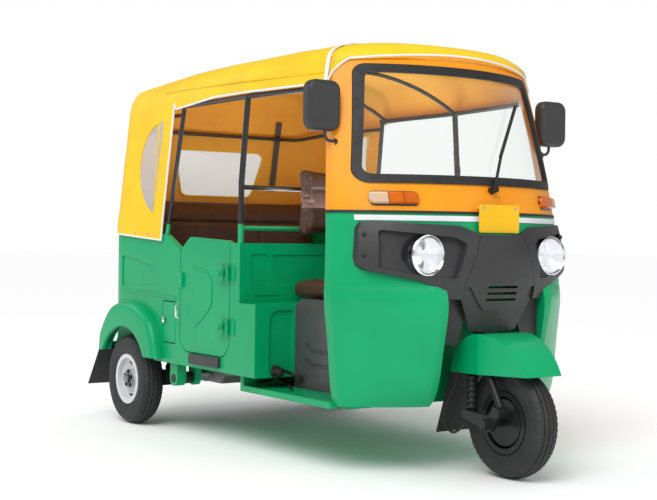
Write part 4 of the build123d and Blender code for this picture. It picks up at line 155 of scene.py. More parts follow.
def moulding(name, colour, shade, roughness, grain=900.0, depth=0.25, shine=0.5):
    """Moulded plastic with a fine pebble grain."""
    made, tree, shader, place = new_material(name)
    drift(tree, shader, place, PLASTIC_DRIFT, colour, shade)
    smooth, rough = roughness - 0.06, roughness + 0.1
    wear(tree, shader, noise(tree, place, PLASTIC_WEAR, 5.0), smooth, rough, 0.3, 0.7)
    set_inputs(shader, {"Specular IOR Level": shine})
    bump(tree, shader, noise(tree, place, grain, 2.0), depth, 0.0008)
    return made


def metal(name, colour, roughness, scratches=180.0):
    """Bare or plated metal with fine scratches."""
    made, tree, shader, place = new_material(name, (1.0, 0.25, 1.0))
    set_inputs(shader, {"Base Color": (*colour, 1.0), "Metallic": 1.0})
    wear(tree, shader, noise(tree, place, scratches, 6.0), roughness, roughness + 0.18, 0.35, 0.75)
    bump(tree, shader, noise(tree, place, scratches * 2, 3.0), 0.08, 0.0005)
    return made


def see_through(name, colour, smear, roughness, through=1.0, ior=1.45):
    """Glass, lens plastic or window film with smears, between two roughnesses and two stops."""
    made, tree, shader, place = new_material(name)
    set_inputs(shader, {"Base Color": (*colour, 1.0), "Transmission Weight": through, "IOR": ior})
    wear(tree, shader, noise(tree, place, smear), *roughness)
    if through < 1.0:
        bump(tree, shader, noise(tree, place, FILM_RIPPLE, 1.0), 0.05, 0.002)
    return made


# Materials of the vehicle
GREEN = (0.0, 0.36, 0.135)
GREEN_SHADE = (0.0, 0.31, 0.115)
ORANGE = (0.86, 0.32, 0.008)
ORANGE_SHADE = (0.80, 0.28, 0.007)
YELLOW = (0.87, 0.58, 0.015)
YELLOW_SHADE = (0.80, 0.50, 0.012)

green = paint("green_enamel", GREEN, GREEN_SHADE)
orange = paint("orange_enamel", ORANGE, ORANGE_SHADE)
black_enamel = paint("black_enamel", (0.012, 0.012, 0.013), (0.02, 0.02, 0.021), 0.35, 0.2)
silver = paint("silver_wheel_enamel", (0.62, 0.63, 0.64), (0.52, 0.53, 0.54), 0.3, 0.3)
white_enamel = paint("white_enamel", (0.78, 0.79, 0.82), (0.70, 0.71, 0.75), 0.3, 0.3)
plate_yellow = paint("plate_enamel", (0.86, 0.49, 0.006), (0.82, 0.46, 0.006), 0.35, 0.2)
black_plastic = moulding("black_moulding", (0.026, 0.026, 0.028), (0.034, 0.034, 0.036), 0.42)
grey_plastic = moulding("grey_moulding", (0.055, 0.057, 0.06), (0.07, 0.072, 0.075), 0.45)
rubber = moulding("black_rubber", (0.012, 0.012, 0.012), (0.02, 0.02, 0.02), 0.55, 260.0, 0.2)
tyre_rubber = moulding("tyre_rubber", (0.016, 0.016, 0.017), (0.03, 0.03, 0.03), 0.62, 150.0, 0.25)
steel = metal("bare_steel", (0.55, 0.55, 0.56), 0.28)
chrome = metal("bright_reflector", (0.9, 0.9, 0.92), 0.06, 60.0)
cast_alloy = metal("cast_alloy", (0.36, 0.37, 0.38), 0.5, 90.0)
amber = moulding("amber_lens", (0.62, 0.13, 0.003), (0.5, 0.09, 0.003), 0.1, 40.0, 0.02)
red_lens = moulding("red_lens", (0.32, 0.004, 0.004), (0.25, 0.004, 0.004), 0.12, 40.0, 0.02)
clear_lens = moulding("clear_indicator_lens", (0.62, 0.44, 0.30), (0.50, 0.34, 0.22), 0.08, 60.0, 0.05)
CLEAR = (0.0, 0.04, 0.5, 0.8)
CLOUDY = (0.12, 0.24, 0.4, 0.8)
glass = see_through("windscreen_glass", (0.93, 0.97, 0.95), GLASS_SMEAR, CLEAR)
lens = see_through("lamp_lens", (0.97, 0.98, 0.99), GLASS_SMEAR, CLEAR)
film = see_through("window_film", (0.88, 0.89, 0.88), FILM_SMEAR, CLOUDY, 0.7, 1.2)
BROWN = (0.085, 0.036, 0.022)
BROWN_SHADE = (0.06, 0.025, 0.016)
brown_vinyl = moulding("brown_seat_vinyl", BROWN, BROWN_SHADE, 0.42, 420.0, 0.35)
yellow_vinyl = moulding("yellow_canvas", YELLOW, YELLOW_SHADE, 0.42, 700.0, 0.2, 0.2)
# Inner side of the canopy: orange painted light, the colour of daylight shining through the yellow canvas
painted_through_light = moulding("canopy_painted_through_light", (0.84, 0.42, 0.06), (0.78, 0.37, 0.05), 0.6, 500.0, 0.3, 0.2)
piping = moulding("white_piping", (0.82, 0.82, 0.84), (0.74, 0.74, 0.77), 0.4, 500.0, 0.15)

SLOT_MATERIALS = {
    "tyre": tyre_rubber, "rim_silver": silver, "rim_black": black_enamel,
    "body_green": green, "cowl_orange": orange, "vinyl_yellow": yellow_vinyl,
    "seat_brown": brown_vinyl, "black_plastic": black_plastic, "black_metal": black_enamel,
    "rubber": rubber, "glass": glass, "clear_film": film,
    "lamp_clear": lens, "lamp_chrome": chrome, "lamp_amber": amber,
    "lamp_red": red_lens, "plate": plate_yellow, "steel": steel,
    "cast": cast_alloy, "grey_plastic": grey_plastic,
}
for entry in frame["record"]["subparts"]:
    node = nodes[entry["node"]]
    node.data.materials.clear()
    node.data.materials.append(SLOT_MATERIALS[entry["material_slot"]])
POST_SPLIT = 0.945
POST_BLACK = (0.016, 0.016, 0.017)
post_enamel = two_tone("post_enamel", GREEN, POST_BLACK, POST_SPLIT)
nodes["cabin_frame"].data.materials[0] = post_enamel


# Camera at the photograph's standpoint
CAMERA_PLACE = (4.672, -3.330, 0.894)
CAMERA_AZIMUTH = 55.261
CAMERA_ELEVATION = 0.536
CAMERA_ROLL = 0.749
SENSOR = 36.0
FOCAL_PIXELS = 1288.5
PHOTO_WIDE = 657.0
PHOTO_TALL = 500.0

turn = math.radians(CAMERA_AZIMUTH)
lift = math.radians(CAMERA_ELEVATION)
back = Vector((math.sin(turn) * math.cos(lift), -math.cos(turn) * math.cos(lift), math.sin(lift)))
camera_data = bpy.data.cameras.new("camera")
camera_data.sensor_width = SENSOR
camera_data.lens = SENSOR * FOCAL_PIXELS / PHOTO_WIDE
camera = bpy.data.objects.new("camera", camera_data)
camera.rotation_mode = "QUATERNION"
camera.location = CAMERA_PLACE
roll = Quaternion((0, 0, 1), math.radians(CAMERA_ROLL))
camera.rotation_quaternion = (-back).to_track_quat("-Z", "Y") @ roll
bpy.context.scene.collection.objects.link(camera)
bpy.context.scene.camera = camera


# Mesh helpers
SIDES = ((-1, "right"), (1, "left"))
INWARDS = -1.0
CENTRED = 0.0


def add_piece(name, mesh, *materials, body="body", sharp=40.0):
    """A new piece on a body, shaded smooth except across sharp edges."""
    for material in materials:
        mesh.materials.append(material)
    mesh.shade_smooth()
    mesh.set_sharp_from_angle(angle=math.radians(sharp))
    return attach(scene_object(name, mesh), body)


def scene_object(name, data):
    """A new object of the scene."""
    made = bpy.data.objects.new(name, data)
    bpy.context.scene.collection.objects.link(made)
    return made


def mesh_from(name, points, faces):
    """A mesh from points and faces, with merged doubles and outward normals."""
    mesh = bpy.data.meshes.new(name)
    mesh.from_pydata([tuple(point) for point in points], [], faces)
    work = bmesh.new()
    work.from_mesh(mesh)
    bmesh.ops.remove_doubles(work, verts=work.verts, dist=0.0002)
    bmesh.ops.recalc_face_normals(work, faces=work.faces)
    work.to_mesh(mesh)
    work.free()
    return mesh


def grid_mesh(name, grid, round_columns=False, round_rows=False):
    """A surface over equal columns of points, closed either way where asked."""
    wide = len(grid)
    tall = len(grid[0])
    faces = []
    for column in range(wide if round_columns else wide - 1):
        near = column * tall
        far = (column + 1) % wide * tall
        for row in range(tall if round_rows else tall - 1):
            upper = (row + 1) % tall
            faces.append((near + row, far + row, far + upper, near + upper))
    return mesh_from(name, [point for column in grid for point in column], faces)


def joined(name, meshes):
    """Several meshes as one."""
    work = bmesh.new()
    for mesh in meshes:
        work.from_mesh(mesh)
        bpy.data.meshes.remove(mesh)
    whole = bpy.data.meshes.new(name)
    work.to_mesh(whole)
    work.free()
    return whole


def applied(piece, name):
    """A piece's mesh with its modifiers applied; the piece is removed."""
    graph = bpy.context.evaluated_depsgraph_get()
    mesh = bpy.data.meshes.new_from_object(piece.evaluated_get(graph))
    mesh.name = name
    bpy.data.objects.remove(piece)
    return mesh


def thick_sheet(mesh, thick, offset, *materials):
    """A holder whose sheet gets a thickness; a second material lines the inner side."""
    for material in materials:
        mesh.materials.append(material)
    holder = scene_object("scratch", mesh)
    solid = holder.modifiers.new("thickness", "SOLIDIFY")
    solid.thickness = thick
    solid.offset = offset
    solid.material_offset = 1 if materials else 0
    return holder


def round_curve(name, points, radius, closed=False, order=0, fineness=2):
    """A curve with a round section; an order over zero makes it a smooth NURBS line."""
    curve = bpy.data.curves.new(name, "CURVE")
    curve.dimensions = "3D"
    curve.bevel_depth = radius
    curve.bevel_resolution = fineness
    curve.use_fill_caps = not closed
    spline = curve.splines.new("NURBS" if order else "POLY")
    spline.points.add(len(points) - 1)
    for knot, point in zip(spline.points, points):
        knot.co = (*point, 1.0)
    spline.use_cyclic_u = closed
    if order:
        spline.order_u = order
        spline.use_endpoint_u = True
    return scene_object(name, curve)


def tube_mesh(points, radius, closed=False, order=0):
    """A round tube along points."""
    return applied(round_curve("tube", points, radius, closed, order), "tube")


def lathe_mesh(profile, centre, axis, segments=48):
    """A profile of (along, radius) pairs turned round an axis."""
    aim = Vector(axis).to_track_quat("Z", "Y")
    columns = []
    for step in range(segments):
        angle = 2 * math.pi * step / segments
        column = []
        for along, radius in profile:
            local = Vector((radius * math.cos(angle), radius * math.sin(angle), along))
            column.append(Vector(centre) + aim @ local)
        columns.append(column)
    return grid_mesh("turned", columns, round_columns=True)


def bolts(name, places, radius, sides=6):
    """One mesh with a washer and a domed head at each (point, normal)."""
    head = [
        (-0.0005, radius * 1.55),
        (radius * 0.22, radius * 1.5),
        (radius * 0.25, radius * 1.02),
        (radius * 0.75, radius),
        (radius * 0.95, radius * 0.7),
        (radius, 0.0),
    ]
    return joined(name, [lathe_mesh(head, point, normal, sides) for point, normal in places])


def mirrored(vector):
    """A vector's image across the middle plane."""
    return Vector((vector[0], -vector[1], vector[2]))


def both_sides(places):
    """Places and their mirror images."""
    return places + [(mirrored(point), mirrored(normal)) for point, normal in places]


# Rays onto the frame
def surface_of(*names):
    """A search tree of the named nodes' surfaces."""
    points = []
    faces = []
    for name in names:
        mesh = nodes[name].data
        start = len(points)
        points.extend(vertex.co.copy() for vertex in mesh.vertices)
        faces.extend([start + index for index in face.vertices] for face in mesh.polygons)
    return BVHTree.FromPolygons(points, faces)


def pixel_ray(across, down):
    """Direction from the camera through a pixel of the photograph."""
    local = Vector((across - PHOTO_WIDE / 2, PHOTO_TALL / 2 - down, -FOCAL_PIXELS))
    return (camera.rotation_quaternion @ local).normalized()


def at_pixel(tree, across, down):
    """Point and normal of a surface under a pixel."""
    aim = pixel_ray(across, down)
    point, normal, _, _ = tree.ray_cast(Vector(CAMERA_PLACE), aim)
    if normal.dot(aim) > 0:
        normal = -normal
    return point, normal


# Tyres with grooved tread, turned on the frame's axles
TYRE_RADIUS = 0.212
SHOULDER_RADIUS = 0.196
SHOULDER_HALF = 0.046
TREAD_STEPS = 216
TREAD_PITCH = 4
GROOVES = (-0.029, -0.0105, 0.0105, 0.029)
GROOVE_HALF = 0.0022
GROOVE_DEPTH = 0.0055
ZIGZAG = 0.0016
SIPE_DEPTH = 0.0032
# Each groove: shares of its half width, and whether that point is at its bottom
GROOVE_SHAPE = ((1.6, 0), (1.0, 0), (0.7, 1), (-0.7, 1), (-1.0, 0), (-1.6, 0))


def crown(across):
    """Tread radius at a distance from the tyre's middle."""
    share = across / SHOULDER_HALF
    return TYRE_RADIUS - (TYRE_RADIUS - SHOULDER_RADIUS) * share * share


# Half of the tyre's section from the bead outwards: distance from the middle, radius
SIDE_WALL = [
    (0.040, 0.104), (0.040, 0.120), (0.0455, 0.1225), (0.0478, 0.127),
    (0.0476, 0.1285), (0.0505, 0.139), (0.0522, 0.150), (0.0528, 0.160),
    (0.0528, 0.163), (0.0518, 0.1645), (0.0518, 0.176), (0.0512, 0.1815),
    (0.0518, 0.183),
]
SHOULDER = [
    (0.0503, 0.1885), (0.0485, 0.1925), (SHOULDER_HALF, SHOULDER_RADIUS), (0.0405, crown(0.0405)),
]
TREAD_EDGE = [(0.036, crown(0.036))]


def tyre_profile():
    """(across, radius, kind) from bead to bead; kind marks grooves and shoulders."""
    side = []
    for kind, run in (("side", SIDE_WALL), ("shoulder", SHOULDER), ("tread", TREAD_EDGE)):
        side.extend((across, radius, kind) for across, radius in run)
    tread = []
    for middle in reversed(GROOVES):
        for shift, drop in GROOVE_SHAPE:
            across = middle + shift * GROOVE_HALF
            tread.append((across, crown(across) - drop * GROOVE_DEPTH, "groove"))
    far = [(-across, radius, kind) for across, radius, kind in reversed(side)]
    return side + tread + far


def tyre(name, node, body, centre):
    """A tyre whose grooves zigzag and whose shoulders are notched."""
    profile = tyre_profile()
    columns = []
    for step in range(TREAD_STEPS):
        angle = 2 * math.pi * step / TREAD_STEPS
        beat = step % TREAD_PITCH
        swing = ZIGZAG * (1 if beat < TREAD_PITCH / 2 else -1)
        notch = SIPE_DEPTH if beat == 0 else 0.0
        column = []
        for across, radius, kind in profile:
            if kind == "groove":
                across += swing
            if kind == "shoulder":
                radius -= notch
            flat = centre[0] + radius * math.cos(angle)
            column.append((flat, centre[1] + across, centre[2] + radius * math.sin(angle)))
        columns.append(column)
    mesh = grid_mesh(name, columns, round_columns=True, round_rows=True)
    made = add_piece(name, mesh, tyre_rubber, sharp=28.0, body=body)
    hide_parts(node)


joint_place = {joint["child"]: Vector(joint["pos_m"]) for joint in frame["joints"]}
for body, node in (
    ("front_wheel", "front_tyre"),
    ("rear_wheel_right", "rear_right_tyre"),
    ("rear_wheel_left", "rear_left_tyre"),
):
    tyre(node + "_treaded", node, body, joint_place[body])

# Rear wheel discs: dark hub with five nuts, black strips of painted shade in place of the vent slot openings, and
# a valve on the outer face
FACE_OUT = 0.0205
NUT_CIRCLE = 0.034
NUT_COUNT = 5
NUT_TURN = 0.25
NUT_OUT = 0.017
NUT_RADIUS = 0.0075
HUB_CAP = [
    (0.013, 0.046), (0.0165, 0.045), (0.018, 0.020), (0.034, 0.0185),
    (0.038, 0.013), (0.039, 0.0),
]
SLOT_CIRCLE = 0.080
SLOT_COUNT = 4
SLOT_HALF = math.radians(13.0)
SLOT_STEPS = 8
SLOT_SUNK = -0.004
SLOT_RADIUS = 0.0062
VALVE_ANGLE = math.radians(60.0)
VALVE_LINE = ((0.094, 0.002), (0.088, 0.026))
VALVE_RADIUS = 0.004


def on_disc(centre, outward, radius, angle, out):
    """Point on a wheel's outer face, a distance out of it."""
    flat = Vector((radius * math.cos(angle), 0, radius * math.sin(angle)))
    return centre + flat + Vector((0, outward * (FACE_OUT + out), 0))


for outward, side_name in SIDES:
    body = "rear_wheel_" + side_name
    rim = f"rear_{side_name}_rim"
    centre = joint_place[body]
    axis = Vector((0, outward, 0))
    places = []
    for index in range(NUT_COUNT):
        angle = 2 * math.pi * (index + NUT_TURN) / NUT_COUNT
        places.append((on_disc(centre, outward, NUT_CIRCLE, angle, NUT_OUT), axis))
    add_piece(rim + "_nuts", bolts("nuts", places, NUT_RADIUS), black_enamel, body=body)
    face = on_disc(centre, outward, 0.0, 0.0, 0.0)
    add_piece(rim + "_cap", lathe_mesh(HUB_CAP, face, axis, 40), cast_alloy, body=body)
    # Each vent opening is drawn as a black strip on the disc: painted shade for the dark inside the slot
    painted_slot_shades = []
    for index in range(SLOT_COUNT):
        middle = 2 * math.pi * index / SLOT_COUNT
        sweep = [middle + SLOT_HALF * (2 * step / SLOT_STEPS - 1) for step in range(SLOT_STEPS + 1)]
        line = [on_disc(centre, outward, SLOT_CIRCLE, angle, SLOT_SUNK) for angle in sweep]
        painted_slot_shades.append(tube_mesh(line, SLOT_RADIUS))
    add_piece(rim + "_painted_slot_shades", joined("painted_slot_shades", painted_slot_shades), black_enamel, body=body)
    valve = [on_disc(centre, outward, radius, VALVE_ANGLE, out) for radius, out in VALVE_LINE]
    add_piece(rim + "_valve", tube_mesh(valve, VALVE_RADIUS), rubber, body=body)


# Rear fenders with a smooth arch over the frame's outline
FENDER_LINE = [
    # behind or ahead of the axle, height
    (-0.268, 0.335), (-0.262, 0.420), (-0.150, 0.545), (0.0, 0.578),
    (0.130, 0.565), (0.262, 0.490), (0.330, 0.335),
]
FENDER_IN = 0.6006
FENDER_OUT = 0.650
FENDER_ROUND = 0.030
FENDER_ARCH = 0.250
FENDER_STEPS = 12
FENDER_SHEET = 0.003
ROUND_STEPS = 6
ROUND_MOST = 0.6
LEAST_WIDE = 0.001
# Share of the way from the outline to the arch, and distance out
FLANGE = [(0.9, FENDER_IN), (0.0, FENDER_IN)]
LIP = [(0.97, FENDER_OUT), (1.0, FENDER_OUT - 0.004), (1.0, FENDER_OUT - 0.016)]


def smooth_line(knots, steps):
    """A curve through flat points, with even steps between each pair."""
    made = []
    padded = [knots[0]] + knots + [knots[-1]]
    for index in range(len(knots) - 1):
        before, first, second, after = padded[index : index + 4]
        for step in range(steps):
            t = step / steps
            point = []
            for axis in (0, 1):
                bend = 2 * before[axis] - 5 * first[axis] + 4 * second[axis] - after[axis]
                twist = -before[axis] + 3 * first[axis] - 3 * second[axis] + after[axis]
                slope = second[axis] - before[axis]
                point.append(first[axis] + (slope * t + bend * t * t + twist * t**3) / 2)
            made.append(tuple(point))
    return made + [knots[-1]]


def fender_columns(side, axle):
    """Inner flange, rounded crown, outer face and rolled lip of one fender."""
    outline = smooth_line(FENDER_LINE, FENDER_STEPS)
    low_angle = math.asin((FENDER_LINE[0][1] - axle.z) / FENDER_ARCH)
    columns = []
    for index, (along, height) in enumerate(outline):
        share = index / (len(outline) - 1)
        angle = math.pi - low_angle - (math.pi - 2 * low_angle) * share
        to_arch = FENDER_ARCH * math.cos(angle) - along
        rise = axle.z + FENDER_ARCH * math.sin(angle) - height
        round_part = min(FENDER_ROUND / max(math.hypot(to_arch, rise), LEAST_WIDE), ROUND_MOST)
        crown_line = []
        for step in range(ROUND_STEPS + 1):
            turned = math.pi / 2 * step / ROUND_STEPS
            out = FENDER_OUT - FENDER_ROUND * (1 - math.sin(turned))
            crown_line.append((round_part * (1 - math.cos(turned)), out))
        column = []
        for part, out in FLANGE + crown_line + LIP:
            column.append(Vector((axle.x + along + to_arch * part, side * out, height + rise * part)))
        columns.append(column)
    return columns


fenders = []
for side, side_name in SIDES:
    skin_mesh = grid_mesh("fender", fender_columns(side, joint_place["rear_wheel_" + side_name]))
    fenders.append(applied(thick_sheet(skin_mesh, FENDER_SHEET, INWARDS, green, green), "fender"))
fender_piece = add_piece("smooth_fenders", joined("fenders", fenders), green, sharp=35.0)
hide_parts("rear_fenders")

# Padded seats, swollen by a pressure simulation from slightly smaller solids
SHRINK = 0.010
SWELL_CAP = 0.018
SWELL_PRESSURE = 4.0
SWELL_QUALITY = 3
SWELL_FRAMES = 20


def swollen(node, voxel):
    """A node's solid, remeshed and blown up a little as foam under vinyl."""
    source = nodes[node].data.copy()
    low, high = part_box(node)
    middle = (low + high) / 2
    size = high - low
    for vertex in source.vertices:
        for axis in range(3):
            share = 1 - 2 * SHRINK / size[axis]
            vertex.co[axis] = middle[axis] + (vertex.co[axis] - middle[axis]) * share
    holder = scene_object("scratch", source)
    remesh = holder.modifiers.new("remesh", "REMESH")
    remesh.mode = "VOXEL"
    remesh.voxel_size = voxel
    mesh = applied(holder, node + "_cover")
    start = [vertex.co.copy() for vertex in mesh.vertices]
    holder = scene_object("scratch", mesh)
    cloth = holder.modifiers.new("cloth", "CLOTH")
    cloth.settings.use_pressure = True
    cloth.settings.uniform_pressure_force = SWELL_PRESSURE
    cloth.settings.quality = SWELL_QUALITY
    cloth.settings.effector_weights.gravity = 0.0
    cloth.point_cache.frame_end = SWELL_FRAMES
    for step in range(1, SWELL_FRAMES + 1):
        bpy.context.scene.frame_set(step)
    mesh = applied(holder, node + "_cover")
    bpy.context.scene.frame_set(1)
    for vertex, place in zip(mesh.vertices, start):
        move = vertex.co - place
        if move.length > SWELL_CAP:
            vertex.co = place + move.normalized() * SWELL_CAP
    return mesh


bench_low, bench_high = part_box("bench_cushion")
BENCH_SEAMS = [bench_low.y + (bench_high.y - bench_low.y) * step / 3 for step in (1, 2)]
SEAM_DEPTH = 0.007
SEAM_WIDTH = 0.007
SEAM_FACING = 0.5
SEATS = [
    # node, voxel, axis its sewn face looks along, sewn behind too, cross seams, border inset,
    # distance of a level seam below the top
    ("bench_cushion", 0.010, 2, False, BENCH_SEAMS, 0.05, None),
    ("bench_back", 0.010, 0, False, BENCH_SEAMS, None, 0.13),
    ("seat_cushion", 0.007, 2, False, [], 0.055, None),
    ("seat_back", 0.006, 0, True, [], 0.035, 0.10),
]
for node, voxel, facing, both, cross_seams, inset, drop in SEATS:
    low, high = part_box(node)
    mesh = swollen(node, voxel)
    flat = [axis for axis in range(3) if axis != facing]
    for vertex in mesh.vertices:
        point = vertex.co
        look = vertex.normal[facing]
        if (abs(look) if both else look) < SEAM_FACING:
            continue
        gaps = [point.y - line for line in cross_seams]
        if inset is not None:
            inside = [min(point[axis] - low[axis], high[axis] - point[axis]) for axis in flat]
            gaps.append(min(inside) - inset)
        if drop is not None:
            gaps.append(point.z - high.z + drop)
        gap = min(gaps, key=abs)
        if abs(gap) < 3 * SEAM_WIDTH:
            vertex.co = point - vertex.normal * SEAM_DEPTH * math.exp(-((gap / SEAM_WIDTH) ** 2))
    made = add_piece(node + "_cover", mesh, brown_vinyl, sharp=180.0)
    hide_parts(node)


# Canopy: one sheet found by rays onto the frame's shell, with windows cut out of it
SPLIT_X = 0.594
SPLIT_GAP = 0.002
FAN_X = -0.62
QUARTER_X = -0.516
QUARTER_LEAN = 0.1215
QUARTER_COLUMNS = 5
GUTTER_Z = 1.491
FAN_Z = 1.30
FAR = 3.0
NEAREST = 0.05
BACKWARDS = Vector((-1, 0, 0))
SIDE_STEP = 0.02
FAN_STEP = 2.0
WALL_ROWS = 28
ROOF_ROWS = 36
SHEET_THICK = 0.003
SHEET_SUNK = 0.001
EDGE_TRIES = 22
EDGE_GAP = 0.0005
HEM_RANGE = (0.80, 1.05)
EAVE_RANGE = (1.38, 1.60)
shell = surface_of("canopy", "canopy_windows")
visor = surface_of("canopy_visor")


def outer_hit(tree, centre, aim):
    """The outermost point of a surface along a ray out of a centre."""
    origin = centre + aim * FAR
    point, _, _, distance = tree.ray_cast(origin, -aim)
    if point is None or distance > FAR - NEAREST:
        return None
    return point


def column_centre(base, lean, height):
    """Ray centre of a column at a height; a leaning column follows the opening's edge."""
    return base + Vector((-QUARTER_LEAN * lean * max(GUTTER_Z - height, 0.0), 0, height))


def lowest_height(tree, base, lean, aim, search):
    """Height of a shell's lower edge in a column, found between two heights."""
    low, high = search
    for _ in range(EDGE_TRIES):
        middle = (low + high) / 2
        if outer_hit(tree, column_centre(base, lean, middle), aim) is None:
            low = middle
        else:
            high = middle
    return high + EDGE_GAP


# Unevenness of the stretched canvas: waves per metre, depth, shift
WAVES = [
    (2.6, 0.0035, Vector((0.0, 0.0, 0.0))),
    (8.0, 0.0012, Vector((3.1, 1.7, 0.4))),
]


def flutter(point):
    """How far the canvas stands off an even shell at a point, in metres."""
    return sum(depth * canvas_noise.noise(point * scale + shift) for scale, depth, shift in WAVES)


# Flatter front arch and billowed rear of the roof
CROWN_DROP = 0.042
CROWN_TOP = 1.70
CROWN_HALF = 0.50
CROWN_START = 0.0
BILLOW = 0.045
BILLOW_START = -0.45
BILLOW_END = 0.50
BILLOW_RISE = 0.12


def settled(point, edge):
    """A roof point, let down to a flatter arch at the front and billowed up towards the back."""
    back = min(max((BILLOW_END - point.x) / (BILLOW_END - BILLOW_START), 0.0), 1.0)
    rise = min(max((point.z - edge) / BILLOW_RISE, 0.0), 1.0)
    share = min(max((point.x - CROWN_START) / (SPLIT_X - CROWN_START), 0.0), 1.0)
    ease = share * share * (3 - 2 * share)
    across = max(0.0, 1 - (point.y / CROWN_HALF) ** 2)
    above = max(0.0, (point.z - edge) / (CROWN_TOP - edge))
    return point + Vector((0, 0, BILLOW * back * rise - CROWN_DROP * ease * across * above))


def roof_points(tree, centre, aim, start, rows):
    """Points from a wall point up and over to the ridge above a centre."""
    flat = (start - centre).dot(aim)
    first = math.atan2(start.z - centre.z, flat)
    found = []
    for row in range(1, rows + 1):
        angle = first + (math.pi / 2 - first) * row / rows
        ray = aim * math.cos(angle) + Vector((0, 0, 1)) * math.sin(angle)
        found.append(outer_hit(tree, centre, ray.normalized()))
    return found


# Columns of the sheet: base, aim, whether it has a wall, lean
columns = []
side_count = round((SPLIT_X - QUARTER_X) / SIDE_STEP)
fan_count = round(180.0 / FAN_STEP)
for side, side_name in SIDES:
    aim = Vector((0, side, 0))
    run = []
    for index in range(side_count + 1):
        x = SPLIT_X - SPLIT_GAP - (SPLIT_X - QUARTER_X) * index / side_count
        run.append((Vector((x, 0, 0)), aim, index == side_count, 1.0))
    for index in range(1, QUARTER_COLUMNS + 1):
        share = index / QUARTER_COLUMNS
        x = QUARTER_X + (FAN_X - QUARTER_X) * index / QUARTER_COLUMNS
        run.append((Vector((x, 0, 0)), aim, True, 1.0 - share))
    if side_name == "left":
        columns.extend(reversed(run))
        continue
    columns.extend(run)
    for index in range(1, fan_count):
        angle = math.radians(-90.0 - FAN_STEP * index)
        fan_aim = Vector((math.cos(angle), math.sin(angle), 0))
        columns.append((Vector((FAN_X, 0, 0)), fan_aim, True, 0.0))

grid = []
for base, aim, walled, lean in columns:
    if walled:
        hem = lowest_height(shell, base, lean, aim, HEM_RANGE)
        heights = [hem + (GUTTER_Z - hem) * row / WALL_ROWS for row in range(WALL_ROWS + 1)]
    else:
        heights = [lowest_height(shell, base, lean, aim, EAVE_RANGE)]
    wall = [outer_hit(shell, column_centre(base, lean, height), aim) for height in heights]
    roof = roof_points(shell, base + Vector((0, 0, FAN_Z)), aim, wall[-1], ROOF_ROWS)
    roof = [settled(point, GUTTER_Z) for point in roof]
    grid.append([None] * (WALL_ROWS + 1 - len(wall)) + wall + roof)

points = []
index_of = {}
for column, heights in enumerate(grid):
    for row, point in enumerate(heights):
        if point is not None:
            index_of[column, row] = len(points)
            outward = (point - Vector((min(max(point.x, FAN_X), SPLIT_X), 0, FAN_Z))).normalized()
            points.append(point + outward * (flutter(point) - SHEET_SUNK))
faces = []
for column in range(len(grid) - 1):
    for row in range(WALL_ROWS + ROOF_ROWS):
        corners = [(column, row), (column + 1, row), (column + 1, row + 1), (column, row + 1)]
        if all(corner in index_of for corner in corners):
            faces.append([index_of[corner] for corner in corners])
sheet_mesh = mesh_from("canopy_sheet", points, faces)
# The sheet's inner side takes the orange painted light of daylight through the canvas
canopy_holder = thick_sheet(sheet_mesh, SHEET_THICK, INWARDS, yellow_vinyl, painted_through_light)

# Windows cut through the sheet where the frame has its panes
REAR_HALF = 0.5
REAR_X = -1.0
CUT_HALF = 0.06
WINDOW_AIM = {"rear": BACKWARDS, "left": Vector((0, 1, 0)), "right": Vector((0, -1, 0))}


def window_of(place):
    """Which of the three windows a corner belongs to."""
    if abs(place.y) < REAR_HALF and place.x < REAR_X:
        return "rear"
    return "left" if place.y > 0 else "right"


pane_groups = {}
for vertex in nodes["canopy_windows"].data.vertices:
    pane_groups.setdefault(window_of(vertex.co), []).append(vertex.co.copy())
cutters = []
for key, corners in pane_groups.items():
    push = Vector((CUT_HALF, 0, 0)) if key == "rear" else Vector((0, CUT_HALF, 0))
    work = bmesh.new()
    for corner in corners:
        work.verts.new(corner + push)
        work.verts.new(corner - push)
    hull = bmesh.ops.convex_hull(work, input=work.verts)
    inside = [part for part in hull["geom_interior"] if isinstance(part, bmesh.types.BMVert)]
    bmesh.ops.delete(work, geom=inside, context="VERTS")
    mesh = bpy.data.meshes.new("cutter_" + key)
    work.to_mesh(mesh)
    work.free()
    cutters.append(scene_object("scratch", mesh))
    cut = canopy_holder.modifiers.new("window_" + key, "BOOLEAN")
    cut.object = cutters[-1]
    cut.operation = "DIFFERENCE"
    cut.solver = "EXACT"
canopy_mesh = applied(canopy_holder, "canopy_sheet")
for cutter in cutters:
    bpy.data.objects.remove(cutter)
canopy = add_piece("canopy_sheet", canopy_mesh, sharp=50.0)
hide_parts("canopy")

# Front visor of the canopy, a second sheet over the header, and the header's own lip below it
VISOR_CENTRE = Vector((0.60, 0, 1.50))
VISOR_BASE = Vector((VISOR_CENTRE.x, 0, 0))
VISOR_RANGE = (1.40, 1.66)
VISOR_ROWS = 20
VISOR_LIFT = 0.017
LIP_ROWS = 3
visor_grid = []
lip_grid = []
for index in range(fan_count + 1):
    angle = math.radians(-90.0 + 180.0 * index / fan_count)
    aim = Vector((math.cos(angle), math.sin(angle), 0))
    edge = lowest_height(visor, VISOR_BASE, 0.0, aim, VISOR_RANGE)
    rise = VISOR_LIFT * max(0.0, math.cos(angle)) ** 0.5
    start = outer_hit(visor, column_centre(VISOR_BASE, 0.0, edge + rise), aim)
    lip_steps = [edge + rise * row / LIP_ROWS for row in range(LIP_ROWS + 1)]
    lip_grid.append([outer_hit(visor, column_centre(VISOR_BASE, 0.0, step), aim) for step in lip_steps])
    roof = roof_points(visor, VISOR_CENTRE, aim, start, VISOR_ROWS)
    visor_grid.append([start] + [settled(point, start.z) for point in roof])
visor_mesh = grid_mesh("visor_sheet", visor_grid)
